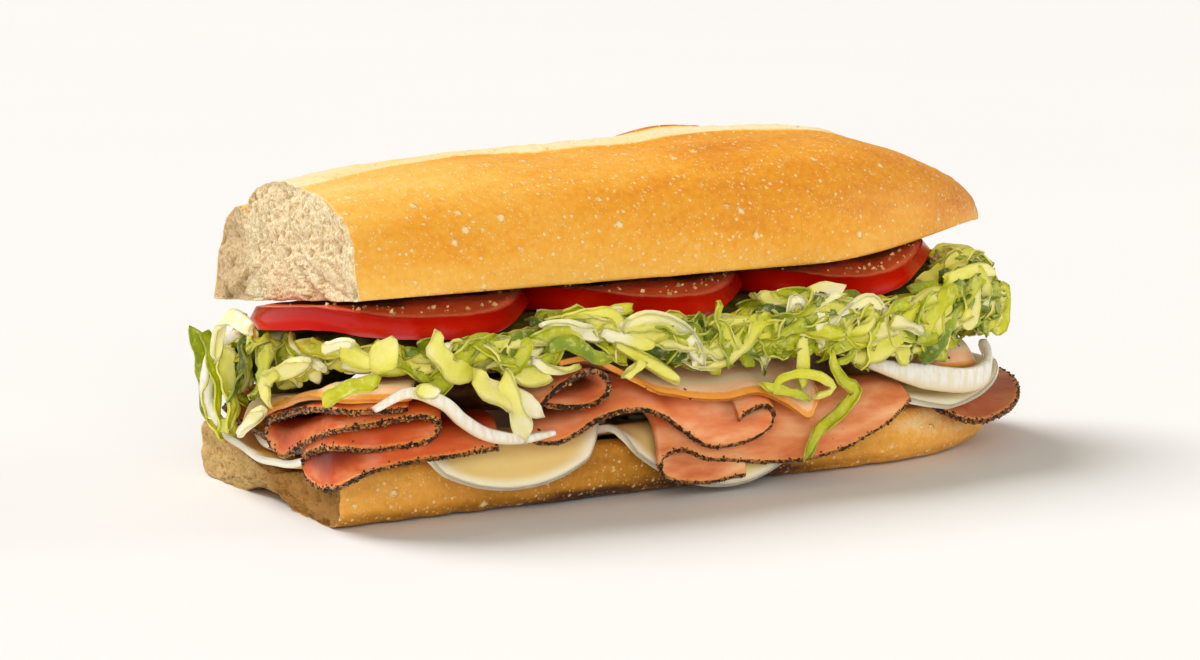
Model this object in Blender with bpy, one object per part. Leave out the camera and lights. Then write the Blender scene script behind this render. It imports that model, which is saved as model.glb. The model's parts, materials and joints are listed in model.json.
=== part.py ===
"""Submarine sandwich, one half of a long roll.

The frame is +Z up and +X from the cut end to the heel, with -Y the open front, and z = 0 is what it
rests on. Sizes are in millimetres, and solid() turns them into metres.
"""

import math
import random

import bmesh
import bpy
import numpy as np
from mathutils.bvhtree import BVHTree

MM = 0.001

# The base half of the roll. Its shoulder is the line where the sliced top turns down
BASE_CUT_X = -99.0
BASE_TOP_Z = 14.0
BASE_DISH = 5.5  # how deep the filling presses its middle
MID_Y = -1.0
SHOULDER_Y = 34.0
HEEL_X = 40.0  # where the half ellipse of the heel starts
HEEL_LENGTH = 50.0
BASE_ROUND = 2.9
BASE_SETTLE = 0.8  # how far below the first layer the bread itself stays
BASE_ARCH = 2.4  # the hollow under the cut end
BASE_ARCH_WIDTH = 10.0

# The lid, the other half, tilted down to the back and lifted at its heel
LID_CUT_X = -95.0
LID_TIP_X = 95.0
LID_TAPER_X = 22.0  # where its sides start to narrow
LID_MID_Y = -1.0
LID_HALF_WIDTH = 38.0
LID_FRONT_Z = 50.0
LID_BACK_Z = 40.5
LID_LIFT = 6.7
LID_LIFT_FROM_X = 20.0
LID_LIFT_TO_X = 88.0
DOME_POWER = 2.25
DOME_BACK_POWER = 2.7
# Height of the crust's ridge over the lid's sliced face: (x, height)
RIDGE = [
    (-95, 25.2), (-80, 27.3), (-57, 29.4), (-35, 30.0), (-15, 30.6), (5, 31.8), (22, 32.0), (40, 29.8),
    (55, 24.6), (70, 17.6), (84, 10.2), (92, 4.2), (95, 0.4),
]

# The slash in the lid's crust: a low torn ridge with an ear behind it, which opens into a notch at the cut end
SLASH_Y = 3.0
SLASH_WIDTH = 3.2
SLASH_SWELL = 1.0
SLASH_END_X = 62.0
EAR_X = 8.0
EAR_RISE = 2.6
EAR_BACK = 6.0  # how far behind the slash it stands
NOTCH_FROM_X = -60.0
NOTCH_RUN = 32.0
NOTCH_SHIFT = 17.0
NOTCH_WIDTH = 2.3
NOTCH_DEPTH = 7.5

# Fillings
BEND_RADIUS = 4.0
BEND_LIMIT = math.radians(78)
HEEL_SPLAY = math.radians(64)  # how much less a slice bends down past the heel's end
CHEESE_THICK = 1.7
MEAT_THICK = 1.2
TOMATO_THICK = 5.0
TOMATO_DROOP = 4.6  # how far a slice's front rim hangs
ONION_THICK = 2.2
LEAF_THICK = 0.9
TURN_WEIGHTS = (1.0, 1.0, 8.0)  # a folded slice has more points where it turns into its next layer
WALL_Y = -47.5  # the front rims of the folded slices
LOW_WALL_Y = -45.8  # and of the one that hangs behind the others
WALL_X = -102.0  # and their rims at the cut end
WALL_CORNER = 9.0
LAYER_ONE = 1.35  # slice heights above the base half
LAYER_TWO = 3.95
LAYER_THREE = 6.2
BACK_SQUEEZE = 0.8  # the pile is thinner at the back
SEED = 11
STRIPS = 40

HEAP_MIDDLE = np.array([-2.0, -3.8])
HEAP_HALF = np.array([95.0, 41.0])
HEAP_HEEL_SHORT = 6.0  # how much shorter it is towards the heel
HEAP_CUT_POWER = 6.0  # how square its outline is at the cut end and at the heel
HEAP_HEEL_POWER = 3.2


def smooth(t):
    """0 to 1 with no corner at either end."""
    t = min(1.0, max(0.0, t))
    return t * t * (3 - 2 * t)


def spline(points, count, weights=1.0):
    """count points on a smooth curve through the given ones, evenly spaced where each coordinate has its weight."""
    p = np.array(points, float)
    p = np.vstack([2 * p[0] - p[1], p, 2 * p[-1] - p[-2]])
    fine = []
    for a, b, c, d in zip(p, p[1:], p[2:], p[3:]):
        for t in np.linspace(0, 1, 24, endpoint=False):
            slope = (c - a) * t + (2 * a - 5 * b + 4 * c - d) * t**2 + (3 * b - a - 3 * c + d) * t**3
            fine.append(b + 0.5 * slope)
    fine.append(p[-2])
    fine = np.array(fine)
    run = np.r_[0, np.cumsum(np.linalg.norm(np.diff(fine, axis=0) * weights, axis=1))]
    at = np.linspace(0, run[-1], count)
    return np.stack([np.interp(at, run, fine[:, k]) for k in range(fine.shape[1])], 1)


def material(name, colour, roughness):
    made = bpy.data.materials.new(name)
    made.use_nodes = True
    shader = made.node_tree.nodes["Principled BSDF"]
    shader.inputs["Base Color"].default_value = (*colour, 1)
    shader.inputs["Roughness"].default_value = roughness
    return made


def solid(name, points, faces, look):
    """A named object from points in millimetres."""
    mesh = bpy.data.meshes.new(name)
    mesh.from_pydata([tuple(float(c) * MM for c in p) for p in points], [], faces)
    mesh.materials.append(look)
    obj = bpy.data.objects.new(name, mesh)
    bpy.context.scene.collection.objects.link(obj)
    bm = bmesh.new()
    bm.from_mesh(mesh)
    bmesh.ops.recalc_face_normals(bm, faces=bm.faces)
    bm.to_mesh(mesh)
    bm.free()
    mesh.shade_smooth()
    mesh.set_sharp_from_angle(angle=math.radians(50))
    return obj


def grid_faces(rows, columns, wrap, start=0):
    """Quads between rows of points, wrapped round or not."""
    faces = []
    for i in range(rows - 1):
        for j in range(columns if wrap else columns - 1):
            a = start + i * columns + j
            b = start + i * columns + (j + 1) % columns
            faces.append((a, b, b + columns, a + columns))
    return faces


def loft(name, rings, look, ends=(0.0, 0.0), first_middle=None):
    """A solid through closed rings, each end filled from its middle, which stands out by ends along X."""
    rings = [np.array(r, float) for r in rings]
    count = len(rings[0])
    points = [tuple(p) for r in rings for p in r]
    faces = grid_faces(len(rings), count, True)
    middles = [rings[0].mean(0) if first_middle is None else np.array(first_middle), rings[-1].mean(0)]
    for middle, first, out in zip(middles, (0, (len(rings) - 1) * count), (-ends[0], ends[1])):
        points.append(tuple(middle + (out, 0, 0)))
        faces += [(first + j, first + (j + 1) % count, len(points) - 1) for j in range(count)]
    return solid(name, points, faces, look)


def sheet(name, grid, thick, look, wrap=False):
    """A thin solid round a grid of mid-surface points. A wrapped grid is a disc, with its middle as first row."""
    grid = np.array(grid, float)
    rows, columns = grid.shape[:2]
    down = np.gradient(grid, axis=0)
    across = np.roll(grid, -1, axis=1) - np.roll(grid, 1, axis=1) if wrap else np.gradient(grid, axis=1)
    normal = np.cross(down, across)
    if wrap:
        normal[0] = normal[1].mean(0)
    normal /= np.linalg.norm(normal, axis=2, keepdims=True) + 1e-12
    sides = [grid + s * thick / 2 * normal for s in (1, -1)]
    if wrap:
        points, faces = [], []
        for side in sides:
            start = len(points)
            points.append(tuple(side[0, 0]))
            points += [tuple(p) for p in side[1:].reshape(-1, 3)]
            faces += [(start, start + 1 + j, start + 1 + (j + 1) % columns) for j in range(columns)]
            faces += grid_faces(rows - 1, columns, True, start + 1)
        half = len(points) // 2
        edge = [half - columns + j for j in range(columns)]
    else:
        points = [tuple(p) for side in sides for p in side.reshape(-1, 3)]
        half = rows * columns
        faces = grid_faces(rows, columns, False) + grid_faces(rows, columns, False, half)
        edge = list(range(columns))
        edge += [i * columns + columns - 1 for i in range(1, rows)]
        edge += [(rows - 1) * columns + j for j in range(columns - 2, -1, -1)]
        edge += [i * columns for i in range(rows - 2, 0, -1)]
    faces += [(a, b, half + b, half + a) for a, b in zip(edge, edge[1:] + edge[:1])]
    return solid(name, points, faces, look)


def reach(x, y):
    """0 along the middle of the base half, 1 at its shoulder."""
    across = (y - MID_Y) / SHOULDER_Y
    return math.hypot(max(0.0, x - HEEL_X) / HEEL_LENGTH, across)


def base_top(x, y):
    """Height of the base half's sliced face."""
    return BASE_TOP_Z - BASE_DISH * (1 - min(1.0, reach(x, y)) ** 2)


def stack(x, y, n):
    """Height of a layer n above the sliced face, squeezed towards the back."""
    squeeze = 1 - (1 - BACK_SQUEEZE) * smooth((y + 20) / 53)
    over = max(0.0, n - 4.8)
    return base_top(x, y) + min(n, 4.8) + over * squeeze


def drape(p, q, n):
    """Where a slice lies: p along the roll and q across it, n above the base half, bent down past its shoulder."""
    far_out = reach(p, q)
    if p < HEEL_X:
        inner = np.array([p, MID_Y + (q - MID_Y) / max(1.0, far_out)])
    else:
        inner = np.array([HEEL_X, MID_Y]) + np.array([p - HEEL_X, q - MID_Y]) / max(1.0, far_out)
    away = np.array([p, q]) - inner
    far = float(np.linalg.norm(away))
    z = base_top(*inner)
    if far < 1e-9:
        return (inner[0], inner[1], z + n)
    away /= far
    limit = BEND_LIMIT - HEEL_SPLAY * away[0] ** 2
    angle = min(limit, far / BEND_RADIUS)
    rest = far - angle * BEND_RADIUS
    flat = (BEND_RADIUS + n) * math.sin(angle) + rest * math.cos(limit)
    drop = BEND_RADIUS - (BEND_RADIUS + n) * math.cos(angle) + rest * math.sin(limit)
    return (inner[0] + away[0] * flat, inner[1] + away[1] * flat, z - drop)


def slice_of(name, centre, radii, n, thick, look, cut=WALL_X + 0.6, columns=24):
    """A flat round slice draped over the base half, cut off straight at the roll's cut end.

    One row of its points lies on the shoulder wherever it reaches past it."""
    middle = np.array(centre)
    grid = [[] for _ in range(7)]
    for j in range(columns):
        a = 2 * math.pi * j / columns
        rim = middle + np.array([radii[0] * math.cos(a), radii[1] * math.sin(a)])
        rim[0] = max(cut, rim[0])
        inside, outside = 0.0, 1.0
        for _ in range(20):
            share = (inside + outside) / 2
            if reach(*(middle + (rim - middle) * share)) < 1:
                inside = share
            else:
                outside = share
        shoulder = min(0.9, inside)
        shares = [0.0, 0.36 * shoulder, 0.72 * shoulder] + [shoulder + (1 - shoulder) * k for k in (0, 0.2, 0.5, 1)]
        for row, share in zip(grid, shares):
            row.append(drape(*(middle + (rim - middle) * share), n))
    return sheet(name, grid, thick, look, wrap=True)


def on_wall(u):
    """The plan point at u along the front of the filling, which turns the corner into the cut end.

    u is x along the front, and runs on past the corner as the length round it."""
    corner_u = WALL_X + WALL_CORNER
    turn = WALL_CORNER * math.pi / 2
    if u >= corner_u:
        return np.array([u, WALL_Y])
    centre = np.array([corner_u, WALL_Y + WALL_CORNER])
    if u >= corner_u - turn:
        a = (corner_u - u) / WALL_CORNER
        return centre - WALL_CORNER * np.array([math.sin(a), math.cos(a)])
    return np.array([WALL_X, centre[1] + (corner_u - turn - u)])


def fold(name, rim, columns, look, wall_y=WALL_Y, to_y=37.0):
    """A folded slice: its rim is a curve of (x, z, n) along the front, and it runs through to the back.

    n is how high it lies above the base half further in, where its folds are pressed together."""
    rim = spline(rim, columns, TURN_WEIGHTS)
    grid = []
    inner_y = MID_Y - SHOULDER_Y
    for t in (0.0, 0.3, 0.62, 1.0):
        row = []
        for x, z, n in rim:
            end = np.array([inner_y, stack(x, inner_y, n)])
            hang = 1 - 0.6 * smooth((z - 13) / 5)
            bend = np.array([wall_y + 0.8, z + max(0.0, end[1] - z) * hang])
            start = np.array([wall_y, z])
            y, height = (1 - t) ** 2 * start + 2 * t * (1 - t) * bend + t**2 * end
            row.append((x, y, height))
        grid.append(row)
    for y in (-19.0, -1.0, 17.0, to_y):
        grid.append([(x, y, stack(x, min(y, MID_Y + SHOULDER_Y), n)) for x, _, n in rim])
    return sheet(name, grid, MEAT_THICK, look)


def corner_fold(name, rim, columns, look, centre=(-58.0, -2.0), shrink=0.3):
    """A folded slice round the cut end's front corner, its rim a curve of (u, z, n), narrowing to its inner end."""
    rim = spline(rim, columns, TURN_WEIGHTS)
    grid = []
    for t, pull in ((0.0, 0.0), (0.03, 0.45), (0.07, 0.8), (0.15, 0.97), (0.4, 1.0), (0.7, 1.0), (1.0, 1.0)):
        row = []
        for u, z, n in rim:
            start = on_wall(u)
            spot = start + (np.array(centre) - start) * t * (1 - shrink)
            inside = stack(spot[0], spot[1], n)
            row.append((spot[0], spot[1], z + (inside - z) * pull))
        grid.append(row)
    return sheet(name, grid, MEAT_THICK, look)


def make_right_ham(look):
    """The soft slice under the heel's onion, humped up in its middle with its rim hanging."""
    columns = 24
    grid = []
    for r, n in ((0.0, 12.2), (0.45, 12.8), (0.72, 13.4), (0.88, 11.6), (1.0, 7.4)):
        ring = []
        for j in range(columns):
            a = 2 * math.pi * j / columns
            x, y = 62.0 + 17.0 * r * math.cos(a), -10.5 + 27.5 * r * math.sin(a)
            ring.append((x, y, stack(x, y, n + 0.5 * math.sin(3 * a) * r)))
        grid.append(ring)
    return sheet("ham_right", grid, MEAT_THICK, look, wrap=True)


def strand(name, path, width, thick, look, count, facing=None):
    """A strip along a path of (x, y, z) that faces one way, or else stands upright."""
    path = spline(path, count)
    tangent = np.gradient(path, axis=0)
    tangent /= np.linalg.norm(tangent, axis=1, keepdims=True)
    side = np.cross(tangent, (0, 0, 1)) if facing is None else facing - tangent * (tangent @ facing)[:, None]
    side /= np.linalg.norm(side, axis=1, keepdims=True)
    lift = np.cross(side, tangent)
    rings = []
    for i, spot in enumerate(path):
        s = 0.35 + 0.65 * min(1.0, 3.0 * min(i, count - 1 - i) / (count - 1) + 0.1)
        w, h = width / 2 * s, thick / 2
        ring = [(-0.7, -1), (0.7, -1), (1, 0), (0.7, 1), (-0.7, 1), (-1, 0)]
        rings.append([spot + lift[i] * w * b + side[i] * h * a for a, b in ring])
    return loft(name, rings, look)


def lid_face(x, y):
    """Height of the lid's flat sliced face."""
    slope = (LID_BACK_Z - LID_FRONT_Z) / (2 * LID_HALF_WIDTH)
    lift = LID_LIFT * smooth((x - LID_LIFT_FROM_X) / (LID_LIFT_TO_X - LID_LIFT_FROM_X))
    return LID_FRONT_Z + slope * (y - LID_MID_Y + LID_HALF_WIDTH) + lift


def slash(x, y):
    """Relief of the slash in the crust."""
    open_end = smooth((NOTCH_FROM_X - x) / NOTCH_RUN)
    line = SLASH_Y + NOTCH_SHIFT * open_end
    width = SLASH_WIDTH + (NOTCH_WIDTH - SLASH_WIDTH) * open_end
    rise = SLASH_SWELL - (SLASH_SWELL + NOTCH_DEPTH) * open_end
    ridge = rise * math.exp(-(((y - line) / width) ** 2))
    ear = EAR_RISE * math.exp(-(((x - EAR_X) / 17) ** 2)) * math.exp(-(((y - line - EAR_BACK) / 4.5) ** 2))
    return (ridge + ear) * smooth((SLASH_END_X - x) / 30)


def make_lid(look):
    """The lid: a domed crust with its slash over a flat sliced face, narrowing to the heel's tip."""
    heel = [LID_TIP_X - short for short in (10, 6, 2.6, 0.8)]
    stations = np.r_[np.linspace(LID_CUT_X, 36, 14), np.linspace(42, 80, 7), heel]
    heights = np.interp(stations, *spline(RIDGE, 80).T)
    dome = 25
    under = 8
    rings = []
    for x, height in zip(stations, heights):
        r = max(0.0, (x - LID_TAPER_X) / (LID_TIP_X - LID_TAPER_X))
        half = LID_HALF_WIDTH * (1 - r**2) ** 0.8
        ring = []
        for j in range(dome + 1):
            c, s = math.cos(math.pi * j / dome), math.sin(math.pi * j / dome)
            power = DOME_BACK_POWER if c < 0 else DOME_POWER
            across = LID_MID_Y - math.copysign(half * abs(c) ** (2 / power), c)
            rise = abs(s) ** (2 / power)
            ring.append((x, across, lid_face(x, across) + (height + slash(x, across)) * rise))
        for j in range(1, under):
            across = LID_MID_Y + half * (1 - 2 * j / under)
            ring.append((x, across, lid_face(x, across)))
        rings.append(ring)
    return loft("top_bread", rings, look, (0.0, 0.4), (LID_CUT_X, 8.0, 50.0))


def make_base(look):
    """The base half: at each place along the shoulder, its sliced face, rounded edges, sides and flat underside."""
    centre_z = BASE_TOP_Z - BASE_ROUND
    inset = BEND_RADIUS - BASE_ROUND
    edge = [(-inset, BASE_TOP_Z - BASE_SETTLE)]
    for a in (30, 62, 90):
        a = math.radians(a)
        edge.append((BASE_ROUND * math.sin(a), centre_z - BASE_SETTLE + BASE_ROUND * math.cos(a)))
    edge += [(BASE_ROUND + 0.5, 7.0), (BASE_ROUND - 0.2, 3.2), (0.8, 0.9), (-3.0, 0.0)]
    across = 7
    rings = []
    straight = [(x, None) for x in np.linspace(BASE_CUT_X, HEEL_X - 10, 12)]
    heel = [(HEEL_X, math.radians(a)) for a in (0, 14, 28, 40, 51, 61, 70, 78, 84.5)]
    for x, a in straight + heel:
        if a is None:
            ends = [(np.array([x, MID_Y + s * SHOULDER_Y]), np.array([0.0, s])) for s in (-1, 1)]
        else:
            ends = []
            for s in (-1, 1):
                out = np.array([HEEL_LENGTH * math.sin(a), s * SHOULDER_Y * math.cos(a)])
                ends.append((np.array([HEEL_X, MID_Y]) + out, out / np.linalg.norm(out)))
        front, back = ends
        rise = 0.0 if a is None else 4.0 * smooth((math.degrees(a) - 30) / 60)
        ring = []
        for j in range(1, across):
            f = j / across
            spot = front[0] + (back[0] - front[0]) * f
            ring.append((spot[0], spot[1], base_top(*spot) - BASE_SETTLE))
        for out, z in edge:
            spot = back[0] + back[1] * out
            ring.append((spot[0], spot[1], z + rise * smooth((9 - z) / 9)))
        low_front = front[0] + front[1] * edge[-1][0]
        low_back = back[0] + back[1] * edge[-1][0]
        for j in range(1, 6):
            spot = low_back + (low_front - low_back) * j / 6
            arch = BASE_ARCH * smooth((-62 - spot[0]) / 36) * math.exp(-((spot[1] / BASE_ARCH_WIDTH) ** 4))
            ring.append((spot[0], spot[1], arch + rise))
        for out, z in reversed(edge):
            spot = front[0] + front[1] * out
            ring.append((spot[0], spot[1], z + rise * smooth((9 - z) / 9)))
        rings.append(ring)
    return loft("bottom_bread", rings, look, (0.0, 1.0), (BASE_CUT_X, MID_Y, 4.8))


def tomato_mid(x, y):
    """Middle height of a tomato slice, hanging towards the front."""
    hang = smooth((-22 - y) / 24) if y > -46 else 1.0
    return lid_face(x, y) - 3.3 - TOMATO_DROOP * hang * hang


def make_tomato(name, centre, radius, look, number):
    columns = 26
    grid = []
    for r in (0.0, 0.5, 0.84, 1.0):
        ring = []
        for j in range(columns):
            a = 2 * math.pi * j / columns
            size = radius * r * (1 + 0.018 * math.sin(5 * a + number) + 0.01 * math.sin(2 * a + 2 * number))
            x, y = centre[0] + size * math.cos(a), centre[1] + size * math.sin(a)
            ring.append((x, y, tomato_mid(x, y)))
        grid.append(ring)
    return sheet(name, grid, TOMATO_THICK, look, wrap=True)


def heap_floor(x, y):
    """The filling's upper limit, where the lettuce starts."""
    heel = 5.0 * smooth((x - 20) / 14)
    behind_folds = 10.0 * smooth((-66 - x) / 12) * smooth((y - 8) / 10)
    return stack(x, y, 20.6 - heel - behind_folds)


def heap_roof(x, y):
    """The lettuce's upper limit, under the tomatoes."""
    heel = 1.3 * smooth((x - 22) / 10) + 5.5 * smooth((x - 68) / 14)
    return tomato_mid(x, y) - TOMATO_THICK / 2 - 0.9 - heel


def heap_edge(a):
    """The lettuce core's outline at angle a round its middle, squarer at the cut end than at the heel."""
    c, s = math.cos(a), math.sin(a)
    power = HEAP_HEEL_POWER + (HEAP_CUT_POWER - HEAP_HEEL_POWER) * smooth(0.5 - c)
    half = HEAP_HALF - (HEAP_HEEL_SHORT if c > 0 else 0.0, 0.0)
    size = (abs(c) ** power + abs(s) ** power) ** (-1 / power)
    bump = 1 + 0.012 * math.sin(9 * a + 1) + 0.01 * math.sin(17 * a)
    return HEAP_MIDDLE + half * size * bump * np.array([c, s])


def make_heap_core(look):
    columns = 44
    rows = [(0.0, 0.0), (0.45, 0.0), (0.63, 0.0), (0.8, 0.0), (0.95, 0.06), (1.0, 0.35), (1.0, 0.65), (0.95, 0.94)]
    rows += [(0.8, 1.0), (0.45, 1.0), (0.0, 1.0)]
    points, faces = [], []
    starts = []
    for r, h in rows:
        starts.append(len(points))
        for j in range(1 if r == 0 else columns):
            a = 2 * math.pi * j / columns
            spot = HEAP_MIDDLE + (heap_edge(a) - HEAP_MIDDLE) * r
            floor, roof = heap_floor(*spot), heap_roof(*spot)
            points.append((spot[0], spot[1], floor + (max(roof, floor + 3) - floor) * h))
    for k in range(len(rows) - 1):
        lone = rows[k][0] == 0 or rows[k + 1][0] == 0
        for j in range(columns):
            i = (j + 1) % columns
            if lone and rows[k][0] == 0:
                faces.append((starts[k], starts[k + 1] + j, starts[k + 1] + i))
            elif lone:
                faces.append((starts[k] + j, starts[k] + i, starts[k + 1]))
            else:
                faces.append((starts[k] + j, starts[k] + i, starts[k + 1] + i, starts[k + 1] + j))
    return solid("lettuce", points, faces, look)


def shred(path, width, twist, look):
    """One shred of leaf: a thin strip of few sides along a path, turned about it by twist."""
    count = 6
    path = spline(path, count)
    tangent = np.gradient(path, axis=0)
    tangent /= np.linalg.norm(tangent, axis=1, keepdims=True)
    rings = []
    for i, spot in enumerate(path):
        side = np.cross(tangent[i], (0.1, 0.2, 1.0))
        side /= np.linalg.norm(side)
        lift = np.cross(side, tangent[i])
        a = twist[0] + twist[1] * i / (count - 1)
        flat = math.cos(a) * side + math.sin(a) * lift
        thin = math.cos(a) * lift - math.sin(a) * side
        w = width / 2 * (0.55 if i in (0, count - 1) else 1.0)
        corners = ((-1, -1), (1, -1), (1, 1), (-1, 1))
        rings.append([spot + flat * w * b + thin * LEAF_THICK / 2 * c for b, c in corners])
    return loft("shred", rings, look)


def tree_of(obj):
    bm = bmesh.new()
    bm.from_mesh(obj.data)
    tree = BVHTree.FromBMesh(bm)
    spots = [v.co.copy() for v in bm.verts]
    bm.free()
    return tree, spots


def clear_of(obj, others, gap):
    """Whether obj stays gap away from the others, points against faces both ways."""
    tree, spots = tree_of(obj)
    for other, other_spots in others:
        if tree.overlap(other):
            return False
        for spot in spots:
            if other.find_nearest(spot, gap * MM)[0] is not None:
                return False
    return True


def crosses_itself(obj):
    """Whether two of its triangles that share no corner meet."""
    obj.data.calc_loop_triangles()
    triangles = [tuple(t.vertices) for t in obj.data.loop_triangles]
    tree = BVHTree.FromPolygons([v.co for v in obj.data.vertices], triangles)
    return any(a < b and not set(triangles[a]) & set(triangles[b]) for a, b in tree.overlap(tree))


def fuse(core, collection):
    """One Boolean union of the core with a collection, applied, keeping its one outer body."""
    join = core.modifiers.new("join", "BOOLEAN")
    join.operation = "UNION"
    join.operand_type = "COLLECTION"
    join.collection = collection
    join.solver = "MANIFOLD"
    evaluated = core.evaluated_get(bpy.context.evaluated_depsgraph_get())
    union = evaluated.to_mesh()
    union.calc_loop_triangles()
    points = [v.co.copy() for v in union.vertices]
    triangles = [tuple(t.vertices) for t in union.loop_triangles]
    evaluated.to_mesh_clear()
    core.modifiers.clear()
    core.data.clear_geometry()
    core.data.from_pydata(points, [], triangles)
    for obj in list(collection.objects):
        bpy.data.objects.remove(obj)
    bpy.data.collections.remove(collection)
    keep_outer_body(core.data)


def keep_outer_body(mesh):
    """Drops what a union leaves beside its largest body: sealed hollows, scraps and slivers."""
    bm = bmesh.new()
    bm.from_mesh(mesh)
    seen, bodies = set(), []
    for face in bm.faces:
        if face in seen:
            continue
        body, waiting = [], [face]
        seen.add(face)
        while waiting:
            body.append(waiting.pop())
            for edge in body[-1].edges:
                beside = [f for f in edge.link_faces if f not in seen]
                if len(edge.link_faces) == 2 and beside:
                    seen.add(beside[0])
                    waiting.append(beside[0])
        bodies.append(body)
    bodies.sort(key=len, reverse=True)
    bmesh.ops.delete(bm, geom=[f for body in bodies[1:] for f in body], context="FACES")
    bm.to_mesh(mesh)
    bm.free()


def make_lettuce(look, others):
    core = make_heap_core(look)
    pile = bpy.data.collections.new("shreds")
    rng = random.Random(SEED)
    made = 0
    for _ in range(STRIPS * 30):
        if made >= STRIPS:
            break
        a = rng.uniform(0, 2 * math.pi)
        if rng.random() < 0.55:
            a = rng.uniform(math.pi, 2 * math.pi)
        edge = heap_edge(a)
        out = (edge - HEAP_MIDDLE) / HEAP_HALF**2
        out /= np.linalg.norm(out)
        along = np.array([-out[1], out[0]]) * rng.choice((-1, 1))
        floor, roof = heap_floor(*edge), max(heap_roof(*edge), heap_floor(*edge) + 3)
        z = floor + (roof - floor) * rng.uniform(0.25, 0.95)
        reach_out = rng.uniform(3.0, 8.5)
        side = rng.uniform(2, 12)
        fall = rng.uniform(-4, 15)
        root = edge - out * 3.0
        path = [
            (*root, z),
            (*(edge + out * reach_out * 0.7 + along * side * 0.25), z + rng.uniform(0, 2.5)),
            (*(edge + out * reach_out + along * side * 0.65), z - fall * 0.4),
            (*(edge + out * reach_out * rng.uniform(0.5, 1.0) + along * side), z - fall),
        ]
        piece = shred(path, rng.uniform(3.2, 5.5), (rng.uniform(-0.6, 1.2), rng.uniform(-1.6, 1.6)), look)
        if clear_of(piece, others, 0.5) and not crosses_itself(piece):
            for c in piece.users_collection:
                c.objects.unlink(piece)
            pile.objects.link(piece)
            made += 1
        else:
            bpy.data.objects.remove(piece)
    bpy.context.scene.collection.children.link(pile)
    fuse(core, pile)
    return core


for old in list(bpy.data.objects):
    bpy.data.objects.remove(old)

CRUST = material("crust", (0.72, 0.40, 0.10), 0.6)
CHEESE = material("cheese", (0.86, 0.74, 0.42), 0.5)
HAM = material("ham", (0.74, 0.26, 0.14), 0.5)
RIND_HAM = material("rind_ham", (0.80, 0.38, 0.14), 0.5)
ONION = material("onion", (0.88, 0.86, 0.76), 0.3)
TOMATO = material("tomato", (0.52, 0.02, 0.01), 0.25)
LEAF = material("leaf", (0.42, 0.52, 0.04), 0.5)

# Rims of the folded slices, from the folds' outer to their inner ends: the place along the front, the height
# there, and the height above the base half further in
CORNER_RIM = [
    (-88, 27.2, 15.2), (-102, 27.0, 15.2), (-121, 24.6, 14.6), (-134, 20.6, 13.6), (-138, 19.2, 13.3),
    (-139.5, 17.0, 12.4), (-138, 14.6, 11.6), (-134.5, 13.3, 11.4), (-129, 13.2, 11.4), (-119, 17.6, 12.0),
    (-102, 23.2, 13.0), (-93, 24.8, 13.2), (-87, 25.2, 13.2), (-83.4, 24.9, 13.1), (-81.0, 23.8, 12.7),
    (-80.4, 22.3, 12.1), (-81.2, 20.7, 11.4), (-84.5, 19.5, 11.1), (-94.3, 19.0, 11.0), (-100.8, 19.2, 10.9),
    (-109.3, 18.0, 10.7), (-116.0, 16.0, 10.5), (-119.0, 14.4, 10.2), (-120.2, 12.4, 9.4), (-119.0, 10.5, 8.6),
    (-115.5, 9.5, 8.4), (-109.5, 9.2, 8.4), (-103.5, 10.6, 8.4), (-95.5, 14.6, 8.6), (-87, 15.8, 8.8),
    (-77.7, 15.8, 8.8), (-66, 16.6, 8.8),
]
CORNER_RIND = [
    (-152, 15.8, 14.8), (-141.9, 20.0, 15.7), (-121.8, 27.0, 17.2), (-103.3, 29.4, 17.8), (-87, 29.4, 17.8),
]
FRONT_RIM = [
    (-54.0, 25.0, 13.0), (-46.2, 23.8, 13.0), (-41.6, 24.5, 13.0), (-39.4, 26.0, 13.3), (-38.5, 28.1, 14.5),
    (-39.8, 30.6, 15.6), (-43.7, 31.8, 15.9), (-50.8, 29.2, 15.9), (-56.2, 24.8, 15.7), (-58.6, 22.6, 14.8),
    (-59.6, 20.4, 12.9), (-58.7, 18.4, 11.0), (-56.0, 17.1, 10.1), (-49.8, 16.8, 9.9), (-40.9, 20.7, 10.2),
    (-33.0, 22.2, 13.6), (-26.6, 20.9, 13.8), (-19.3, 15.9, 12.6), (-13.0, 12.2, 11.0), (-6.5, 11.6, 9.9),
    (-0.9, 12.8, 9.9), (2.4, 14.2, 9.9), (3.9, 15.5, 10.2), (4.5, 17.4, 11.0), (3.8, 19.0, 11.8),
    (1.8, 19.8, 12.1), (-2.6, 18.8, 12.1), (-4.8, 17.2, 12.1),
]
LOW_RIM = [
    (-1.5, 3.9, 5.75), (-11.3, 3.2, 5.75), (-17.1, 3.8, 5.75), (-21.2, 5.0, 5.75), (-23.2, 6.2, 6.0),
    (-24.0, 8.2, 6.8), (-23.2, 10.0, 7.6), (-21.2, 11.0, 7.8), (-17.6, 11.2, 7.8), (-12.0, 8.8, 7.8),
    (-3.9, 7.4, 7.8), (6.1, 6.2, 7.8), (16.8, 6.3, 7.8), (26.4, 7.8, 7.8), (36.0, 11.6, 7.8),
    (41.0, 14.6, 7.8), (44.0, 17.2, 7.8),
]
UPPER_RIM = [
    (-51.0, 34.4, 18.1), (-43.7, 34.8, 18.2), (-37.4, 32.0, 17.6), (-31.2, 28.6, 16.9), (-25.8, 25.6, 16.2),
    (-17.2, 23.4, 15.7), (-8.7, 22.6, 15.5), (0.1, 23.0, 15.6), (7.0, 20.4, 15.1), (13.5, 16.4, 14.2),
    (16.0, 18.6, 14.7), (16.8, 20.8, 15.1),
]

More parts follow.
